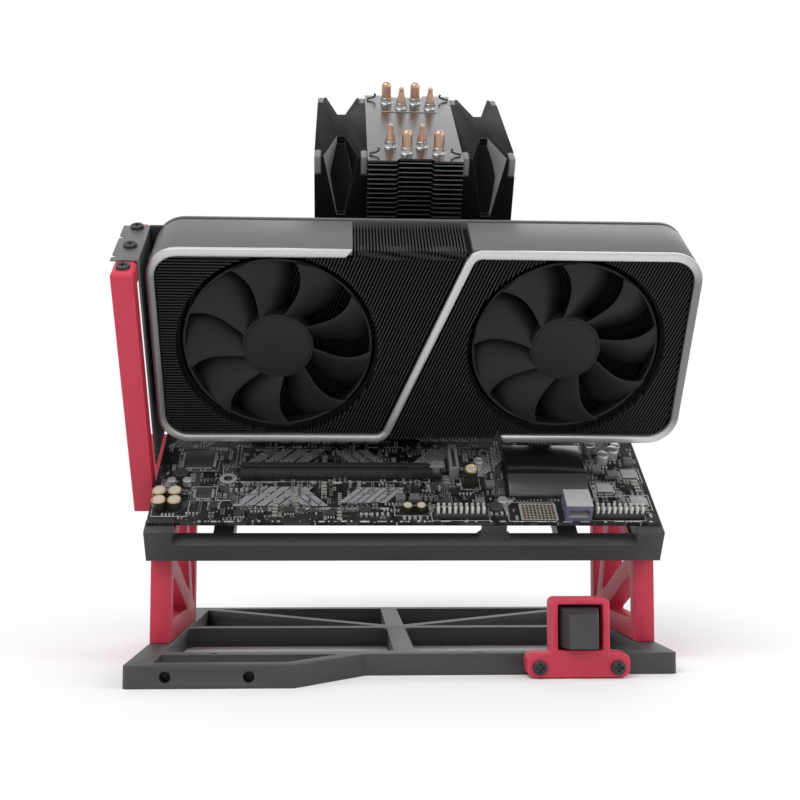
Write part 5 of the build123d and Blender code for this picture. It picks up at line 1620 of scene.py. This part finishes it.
class BoardOperator(bpy.types.Operator):
    """Circuit board with its tracks, printed fields and marks, plated rings and contact grid"""

    bl_idname = "bench.board"
    bl_label = "Board"

    def execute(self, context):
        settings = context.scene.bench_board
        mesh = rounded_node("circuit_board", 0.15)
        plan = mesh.uv_layers.new(name="plan")
        inverse = RACK.inverted()
        for loop in mesh.loops:
            local = inverse @ mesh.vertices[loop.vertex_index].co
            plan.data[loop.index].uv = (local.x, local.y)
        piece("circuit_board_body", mesh, "board_black", "bench", ("circuit_board",))
        self.fields()
        self.tracks()
        self.marks(settings.seed)
        self.rings()
        self.contacts()
        return {"FINISHED"}

    def fields(self):
        """Grey fields, each a row of slanted strips."""
        bm = bmesh.new()
        fields = (
            (-78, 12.5, 26, 15, 5, 1.0), (-46, 12.5, 12, 12, 3, -1.0), (-30, 15, 22, 12, 6, 1.0),
            (-76, 44, 30, 15, 4, 1.0), (-22, 43, 18, 15, 3, -1.0), (2, 43, 13, 16, 5, 1.0),
            (28, 36, 10, 22, 5, 1.0), (38, 11, 9, 7, 1, 1.0), (-113, 27, 7, 9, 1, 1.0),
            (-113, 60, 20, 14, 6, 1.0), (88, 56, 14, 14, 4, 1.0), (-60, 64, 50, 10, 7, 1.0),
            (10, 66, 30, 12, 6, -1.0),
        )
        for u, v, width, depth, strips, lean in fields:
            step = width / strips
            run = depth * 0.75 * lean
            for strip in range(strips):
                left = u + strip * step
                right = left + step * 0.82
                outline = ((left, v), (right, v), (right + run, v + depth), (left + run, v + depth))
                add_plate(bm, outline, 0.0, INK)
        piece("board_fields", shaped(bm, RACK), "field_grey", "bench")

    def tracks(self):
        """Bundles of tracks with slanting bends."""
        bm = bmesh.new()
        bundles = (
            (((-104, 8), (-96, 16), (-96, 40)), 5, 0.9), (((-86, 30), (-70, 10), (-20, 10)), 4, 0.9),
            (((-88, 58), (-80, 50), (-80, 20), (-72, 9)), 5, 0.8), (((12, 60), (19, 53), (19, 14)), 4, 0.8),
            (((30, 58), (44, 44), (44, 20)), 6, 0.9), (((88, 60), (88, 34), (100, 22), (100, 9)), 6, 0.8),
            (((-66, 60), (-58, 52), (-6, 52)), 5, 0.9), (((110, 58), (110, 22), (104, 10)), 4, 0.8),
            (((-110, 100), (-92, 82), (-20, 82)), 6, 1.0), (((40, 100), (58, 82), (104, 82)), 6, 1.0),
        )
        for points, count, pitch in bundles:
            for step in range(count):
                shift = (step - (count - 1) / 2) * pitch
                low = moved_aside(points, shift - TRACK_WIDTH / 2)
                high = moved_aside(points, shift + TRACK_WIDTH / 2)
                add_plate(bm, low + high[::-1], 0.0, INK * 0.7)
        piece("board_tracks", shaped(bm, RACK), "track_grey", "bench")

    def marks(self, seed):
        """Pale printed frames round the chips, and short dashes along the board's front edge."""
        draw = random.Random(seed + 1)
        places = []
        frames = (
            (-105.5, -86.5, 40, 58.8), (-97, -85.6, 16.3, 27.3), (87.5, 98.7, 20, 31.2),
            (101.2, 112.4, 31.4, 42.6), (101.3, 112.5, 9.8, 21), (11.6, 37.4, 1.6, 8.4),
            (83.2, 107.8, 1.6, 8.4), (-113, -97, 4.6, 21.6), (-5, 11, 5.2, 13), (46, 67.5, 1.2, 15.4),
            (26.6, 35.4, 25.6, 34.4), (-84, 12, 31.4, 43.4),
        )
        dashes = ((1.0, -92, 110), (10.6, -70, -8), (30.6, -82, 10), (60.5, -80, 40), (16.6, -94, -78))
        for u0, u1, v0, v1 in frames:
            for v in (v0, v1):
                places.append((((u0 + u1) / 2, v, INK), STILL, (u1 - u0, FRAME_LINE, INK), draw.random()))
            for u in (u0, u1):
                places.append(((u, (v0 + v1) / 2, INK), STILL, (FRAME_LINE, v1 - v0, INK), draw.random()))
        for row, low, high in dashes:
            u = low
            while u < high:
                width = draw.choice((0.7, 0.9, 1.4, 2.6, 4.2))
                if draw.random() < 0.72:
                    spot = (u + width / 2, row + draw.uniform(-0.2, 0.2), INK)
                    size = (width, draw.choice((0.5, 0.8, 1.0)), INK)
                    places.append((spot, STILL, size, draw.random()))
                u += width + draw.choice((0.5, 0.7, 1.6, 3.4))
        block_piece("board_marks", places, "mark_pale")

    def rings(self):
        """Plated rings round the board's holes, with a wreath of small plated dots."""
        sides = ((2.05, 0.0), (4.1, 0.0), (4.1, RING_HEIGHT), (2.05, RING_HEIGHT))
        places = [((u, v, 0.0), STILL, FULL) for u, v in BOARD_HOLES]
        plated = placed_copies(turned_item(sides, 40, True), places, "ring_tin", RACK)
        wreath, dots = 5.2, []
        for u, v in BOARD_HOLES:
            for step in range(10):
                turn = math.tau * step / 10
                dots.append(((u + wreath * math.cos(turn), v + wreath * math.sin(turn), 0.0), STILL, FULL))
        dot = turned_item(((0.01, 0.0), (0.42, 0.0), (0.42, 0.08), (0.01, 0.1)), 8)
        dotted = placed_copies(dot, dots, "ring_tin", RACK)
        piece("hole_rings", joined(plated, dotted), "ring_tin", "bench")

    def contacts(self):
        """Grid of gold contacts on a pale pad beside the drive socket."""
        bm = bmesh.new()
        add_plate(bm, ((51.6, 2.2), (68.4, 2.2), (68.4, 14.6), (51.6, 14.6)), 0.0, INK)
        piece("contact_pad", shaped(bm, RACK), "field_grey", "bench")
        size = (1.15, 1.35, 0.24)
        first_u, first_v, pitch_u, pitch_v = 53.3, 3.4, 1.68, 1.85
        places = []
        for column in range(9):
            for row in range(6):
                spot = (first_u + column * pitch_u, first_v + row * pitch_v, size[2] / 2)
                places.append((spot, STILL, size))
        block_piece("contact_grid", places, "contact_gold")


class SocketsOperator(bpy.types.Operator):
    """Slots with their contacts and latches, pin headers, power sockets and edge connectors"""

    bl_idname = "bench.sockets"
    bl_label = "Sockets"

    def execute(self, context):
        plain_sockets = {
            "graphics_slot": 0.25, "lower_slot": 0.25, "memory_slots": 0.25, "pin_headers": 0.2,
            "edge_connectors": 0.25, "power_sockets": 0.3,
        }
        for node, edge in plain_sockets.items():
            made = dressed_node(node, edge, "slot_plastic", "slot_plastic")
            if node == "edge_connectors":
                painted(made, "drive_grey", lambda spot, way: spot.x > RIGHT_PARTS_U and way.z > 0.5)
                painted(made, "drive_blue", lambda spot, way: spot.x > RIGHT_PARTS_U and way.z <= 0.5)
                painted(made, "latch_grey", lambda spot, way: spot.x < LEFT_PARTS_U)
        dressed_nodes(
            ("graphics_slot_latch", 0.3, "latch_grey", "latch_plastic"),
            ("lower_slot_latch", 0.3, "latch_grey", "latch_plastic"),
            ("memory_latch_inner", 0.3, "latch_plastic", "latch_plastic"),
            ("memory_latch_outer", 0.3, "latch_plastic", "latch_plastic"),
            ("cpu_socket", 0.3, "socket_plastic", "socket_plastic"),
            ("processor", 0.25, "processor_metal", "processor_metal"),
            ("rear_ports", 0.3, "bracket_steel", "bracket_steel"))
        self.contacts(context.scene.bench_board.contact_pitch / MM)
        panel = box_item((-3.6, 3.6), (-0.14, 0.1), (0.7, 3.5), 0.1)
        ribs = row_copies(panel, 10, (-73.0, 33.71, 0), (8.2, 0, 0), "slot_gloss", RACK)
        piece("slot_ribs", ribs, None, "bench")
        level, size = 3.7, (1.25, 0.75, 5.0)
        places = []
        for first in HEADER_U:
            for column in range(HEADER_PINS):
                for v in HEADER_V:
                    places.append(((first + column * PIN_PITCH, v, level), STILL, size))
        block_piece("header_pins", places, "pin_white", 0.12)
        return {"FINISHED"}

    def contacts(self, pitch):
        """Two rows of contacts in each slot, on both sides of its key."""
        stretches = ((-59.6, 72), (-73.4, 11))
        rows = []
        for v, low, high in ((LOWER_SLOT_V, 1.6, 3.9), (GRAPHICS_SLOT_V, 3.2, 10.4)):
            contact = box_item((-0.22, 0.22), (-0.16, 0.16), (low, high))
            for side in (-0.74, 0.74):
                for first, length in stretches:
                    item, count = contact.copy(), int(length / pitch)
                    begin, step = (first, v + side, 0), (pitch, 0, 0)
                    rows.append(row_copies(item, count, begin, step, "contact_gold", RACK))
        piece("slot_contacts", joined(*rows), "contact_gold", "bench")


class BoardPartsOperator(bpy.types.Operator):
    """Heat spreaders, chips, capacitors, chokes, memory and tiny parts on the board"""

    bl_idname = "bench.board_parts"
    bl_label = "Board parts"

    def execute(self, context):
        settings = context.scene.bench_board
        dressed_node("regulator_heatsinks", 0.5, "heatsink_black", "heatsink_black")
        made = dressed_node("chipset_heatsink", 0.3, "chipset_black", "heatsink_black")
        painted(made, "bevel_grey", lambda spot, way: way.y < -0.25 and way.z > 0.3)
        painted(made, "choke_grey", lambda spot, way: way.y < -0.8)
        made = dressed_node("chips", 0.18, "chip_black", "chip_black")
        painted(made, "chip_grey", lambda spot, way: spot.x > RIGHT_PARTS_U and way.z > 0.5)
        dressed_node("memory_modules", 0.15, "card_board", "board_black")
        self.capacitors()
        self.small_cans()
        self.chip_pins()
        self.small_chips()
        self.memory()
        self.tiny(settings.parts, settings.seed)
        return {"FINISHED"}

    def capacitors(self):
        """Round cans whose near-black sides are painted shade, with a rolled rim and a pale pressed top."""
        corner = ((4.3, 11), (11.2, 11), (3.7, 18.2), (10.6, 18.2))
        spots = [(u - HALF_BOARD, v, 3.3, 5.0) for u, v in corner]
        spots += [(COOLER_U - 25 + 10 * step, COOLER_V + 38, 2.9, 8.0) for step in range(6)]
        spots += [(0.9, 9, 2.2, 3.5), (7.0, 9, 2.2, 3.5), (31, 30, 3.3, 9.0)]
        places = [((u, v, 0.0), STILL, (radius, radius, height)) for u, v, radius, height in spots]
        can_side = ((0.01, 0.0), (0.95, 0.0), (0.97, 0.03), (0.97, 0.86), (0.9, 0.9), (0.01, 0.9))
        rim = (
            (0.8, 0.88), (0.93, 0.88), (0.985, 0.91), (0.985, 0.95), (0.95, 0.99), (0.88, 1.0), (0.8, 0.985))
        top = ((0.01, 0.88), (0.83, 0.88), (0.83, 0.97), (0.5, 0.985), (0.01, 0.985))
        self.turned("capacitor_cans", can_side, places, "can_side_shade", "slot_plastic", ("capacitors",))
        self.turned("capacitor_rims", rim, places, "capacitor_gold", "capacitor_gold", closed=True)
        self.turned("capacitor_tops", top, places, "can_top", "bracket_steel")

    def turned(self, name, profile, places, material, slot, stands_for=(), closed=False):
        """Copies of a turned form."""
        item = turned_item(profile, 28, closed, SMOOTH_CAN)
        copied_piece(name, item, places, material, RACK, stands_for, SMOOTH_CAN)

    def small_cans(self):
        """Bright cans at the board's right, a dark sounder at its left and chokes beside them."""
        can = ((0.01, 0.0), (0.98, 0.0), (1.0, 0.06), (1.0, 0.9), (0.93, 0.98), (0.82, 1.0), (0.01, 1.0))
        spots = (
            (96.0, 47.5, 2.9, 5.5), (101.5, 52.0, 2.9, 5.5), (91.2, 57.0, 2.9, 5.0),
            (-106.6, 29.2, 2.0, 3.0), (-99.6, 29.2, 2.0, 3.0), (44.2, 13.4, 2.4, 3.4),
            (36.0, 44.0, 2.4, 4.0), (104.0, 57.5, 2.4, 4.0),
        )
        places = [((u, v, 0.0), STILL, (radius, radius, height)) for u, v, radius, height in spots]
        self.turned("bright_cans", can, places, "can_silver", "bracket_steel")
        places = [((-103.2, 35.2, 0.0), STILL, (3.3, 3.3, 3.0)), ((40.5, 9.6, 0.0), STILL, (3.0, 3.0, 2.6))]
        self.turned("sounders", can, places, "chip_black", "chip_black")
        spots = (
            (98.5, 36.0), (92.0, 40.0), (108.5, 47.0), (40.0, 27.5), (34.0, 14.0), (-2.0, 17.0), (4.5, 17.0))
        size = (4.4, 4.2, 2.6)
        places = [((u, v, size[2] / 2), STILL, size) for u, v in spots]
        block_piece("chokes", places, "choke_grey", 0.06)

    def chip_pins(self):
        """Rows of bent pins round the chips."""
        places = []
        chips = (
            (-96.0, 49.4, 13.6, 18), (-91.3, 21.8, 7.0, 9), (93.1, 25.6, 7.0, 9), (106.8, 37.0, 7.0, 9),
            (106.9, 15.4, 7.0, 9),
        )
        for u, v, size, count in chips:
            pitch = size * 0.86 / (count - 1)
            reach = size / 2 + 0.5
            width, length, height = pitch * 0.5, 1.2, 0.4
            for step in range(count):
                along = (step - (count - 1) / 2) * pitch
                for side in (-reach, reach):
                    places.append(((u + along, v + side, height / 2), STILL, (width, length, height)))
                    places.append(((u + side, v + along, height / 2), STILL, (length, width, height)))
        block_piece("chip_pins", places, "pin_white")

    def small_chips(self):
        """Flat chips with two rows of pins."""
        spots = (
            (-68, 60, 0), (-30, 38.5, 0), (-52, 8.4, 0), (-18, 8.4, 0), (14, 26, 1), (17, 14, 0),
            (44, 36, 1), (99, 12, 0), (-86, 12, 1), (-74, 6, 0), (-34, 6, 0), (104, 64, 1), (-100, 68, 0),
            (40, 60, 0), (60, 64, 0), (-104, 206, 0), (96, 110, 1), (98, 122, 1), (98, 208, 1),
            (-50, 96, 0), (-20, 96, 0), (20, 96, 0),
        )
        body_level, body_size = 0.75, (5.0, 3.6, 1.3)
        pin_level, pin_size, pitch = 0.25, (0.5, 1.0, 0.4), 1.2
        bodies, pins = [], []
        for u, v, upright in spots:
            turn = (0.0, 0.0, math.radians(90 * upright))
            bodies.append(((u, v, body_level), turn, body_size))
            for step in range(4):
                along = (step - 1.5) * pitch
                for side in (-2.3, 2.3):
                    right, up = (side, along) if upright else (along, side)
                    pins.append(((u + right, v + up, pin_level), turn, pin_size))
        block_piece("small_chips", bodies, "chip_black")
        block_piece("small_chip_pins", pins, "pin_white")

    def memory(self):
        """Memory chips on both faces of the modules."""
        first, pitch, key_gap = 107.5, 15.2, 4.0
        level, size = 21.0, (0.9, 8.6, 12.5)
        places = []
        for u in MEMORY_U:
            for step in range(8):
                v = first + step * pitch + (key_gap if step > 3 else 0.0)
                for side in (-1.1, 1.1):
                    places.append(((u + side, v, level), STILL, size))
        block_piece("memory_chips", places, "chip_black")

    def taken(self, u, v):
        """Whether a spot of the board already carries something."""
        held_spots = (
            (-82, 14, 32, 43), (-82, 40, 73, 84), (46, 86, 18, 56), (20, 28, 32, 55), (-115, -98, 6, 23),
            (-2, 11, 6, 12), (11, 38, 1, 9), (50, 84, 0, 16), (83, 109, 1, 9), (-104, -88, 41, 58),
            (-86.5, -76, 29, 39), (68, 79, 29, 39), (66, 88, 90, 240), (-46, 56, 112, 240),
            (-90, -60, 110, 244), (-116, -92, 90, 190), (99, 115, 136, 196), (26.5, 35.5, 25.5, 34.5),
            (-96, -86.5, 17, 26.5), (88.3, 98, 20.8, 30.5), (102, 111.7, 32.2, 41.8),
            (102, 111.8, 10.6, 20.2), (-107, -99, 27, 39),
        )
        return any(u0 < u < u1 and v0 < v < v1 for u0, u1, v0, v1 in held_spots)

    def tiny(self, tries, seed):
        """Tiny parts with bright ends, in short rows along the board's two directions."""
        draw = random.Random(seed)
        front_share, front_end = 0.75, 62
        around = (-1, 0, 1)
        spots = []
        used = set()
        for _ in range(tries):
            u = round(draw.uniform(-111, 111) / TINY_GRID) * TINY_GRID
            depth = (2.4, front_end) if draw.random() < front_share else (front_end, 241)
            v = round(draw.uniform(*depth) / TINY_GRID) * TINY_GRID
            upright = draw.random() < 0.5
            scale = draw.choice((0.8, 1.0, 1.0, 1.5))
            tone = draw.choice((0.0, 0.2, 0.85, 1.0))
            count = draw.choice((1, 2, 3, 4, 6))
            step = 1.6 if scale < 1.2 else 2.4
            for turn in range(count):
                spot = (u + turn * step, v) if upright else (u, v + turn * step)
                cell = (round(spot[0] / TINY_CELL), round(spot[1] / TINY_CELL))
                near = {(cell[0] + right, cell[1] + up) for right in around for up in around}
                edge = abs(spot[0]) > HALF_BOARD - 2.3 or spot[1] > BOARD_DEPTH - 2.5
                if edge or self.taken(*spot) or (turn == 0 and used & near) or cell in used:
                    break
                used.add(cell)
                spots.append((*spot, upright, scale, tone))
        bodies, ends = [], []
        for u, v, upright, scale, tone in spots:
            turn = (0.0, 0.0, math.radians(90)) if upright else STILL
            bodies.append(((u, v, 0.25 * scale), turn, (1.0 * scale, 0.8 * scale, 0.5 * scale), tone))
            size = (0.4 * scale, 0.84 * scale, 0.54 * scale)
            for shift in (-0.62 * scale, 0.62 * scale):
                spot = (u, v + shift, 0.26 * scale) if upright else (u + shift, v, 0.26 * scale)
                ends.append((spot, turn, size, tone))
        block_piece("tiny_part_bodies", bodies, "tiny_body")
        block_piece("tiny_part_ends", ends, "tiny_end")


class BenchPanel(bpy.types.Panel):
    """Lists the bench's pieces and their sizes"""

    bl_idname = "VIEW3D_PT_bench"
    bl_label = "Test bench"
    bl_space_type = "VIEW_3D"
    bl_region_type = "UI"
    bl_category = "Bench"

    def draw(self, context):
        column = self.layout.column()
        for operator in OPERATORS:
            column.operator(operator.bl_idname)
        for name in SETTINGS:
            settings = getattr(context.scene, name)
            for key in settings.__annotations__:
                column.prop(settings, key)


OPERATORS = (
    StageOperator, PrintsOperator, FastenersOperator, PowerKeyOperator, CardBodyOperator, CardFinsOperator,
    CardFansOperator, CoolerStackOperator, HeatPipesOperator, CoolerFansOperator, BoardOperator,
    SocketsOperator, BoardPartsOperator,
)
SETTINGS = {
    "bench_finish": FinishSettings, "bench_stage": StageSettings, "bench_print": PrintSettings,
    "bench_card": CardSettings, "bench_cooler": CoolerSettings, "bench_board": BoardSettings,
}


def register():
    """Registers the settings, the operators and the panel."""
    for name, settings in SETTINGS.items():
        bpy.utils.register_class(settings)
        setattr(bpy.types.Scene, name, bpy.props.PointerProperty(type=settings))
    for operator in OPERATORS:
        bpy.utils.register_class(operator)
    bpy.utils.register_class(BenchPanel)


def unregister():
    """Takes everything off again."""
    bpy.utils.unregister_class(BenchPanel)
    for operator in reversed(OPERATORS):
        bpy.utils.unregister_class(operator)
    for name, settings in SETTINGS.items():
        delattr(bpy.types.Scene, name)
        bpy.utils.unregister_class(settings)


def main():
    """Registers the add-on and builds the bench."""
    register()
    for operator in OPERATORS:
        group, name = operator.bl_idname.split(".")
        getattr(getattr(bpy.ops, group), name)()


if __name__ == "__main__":
    main()
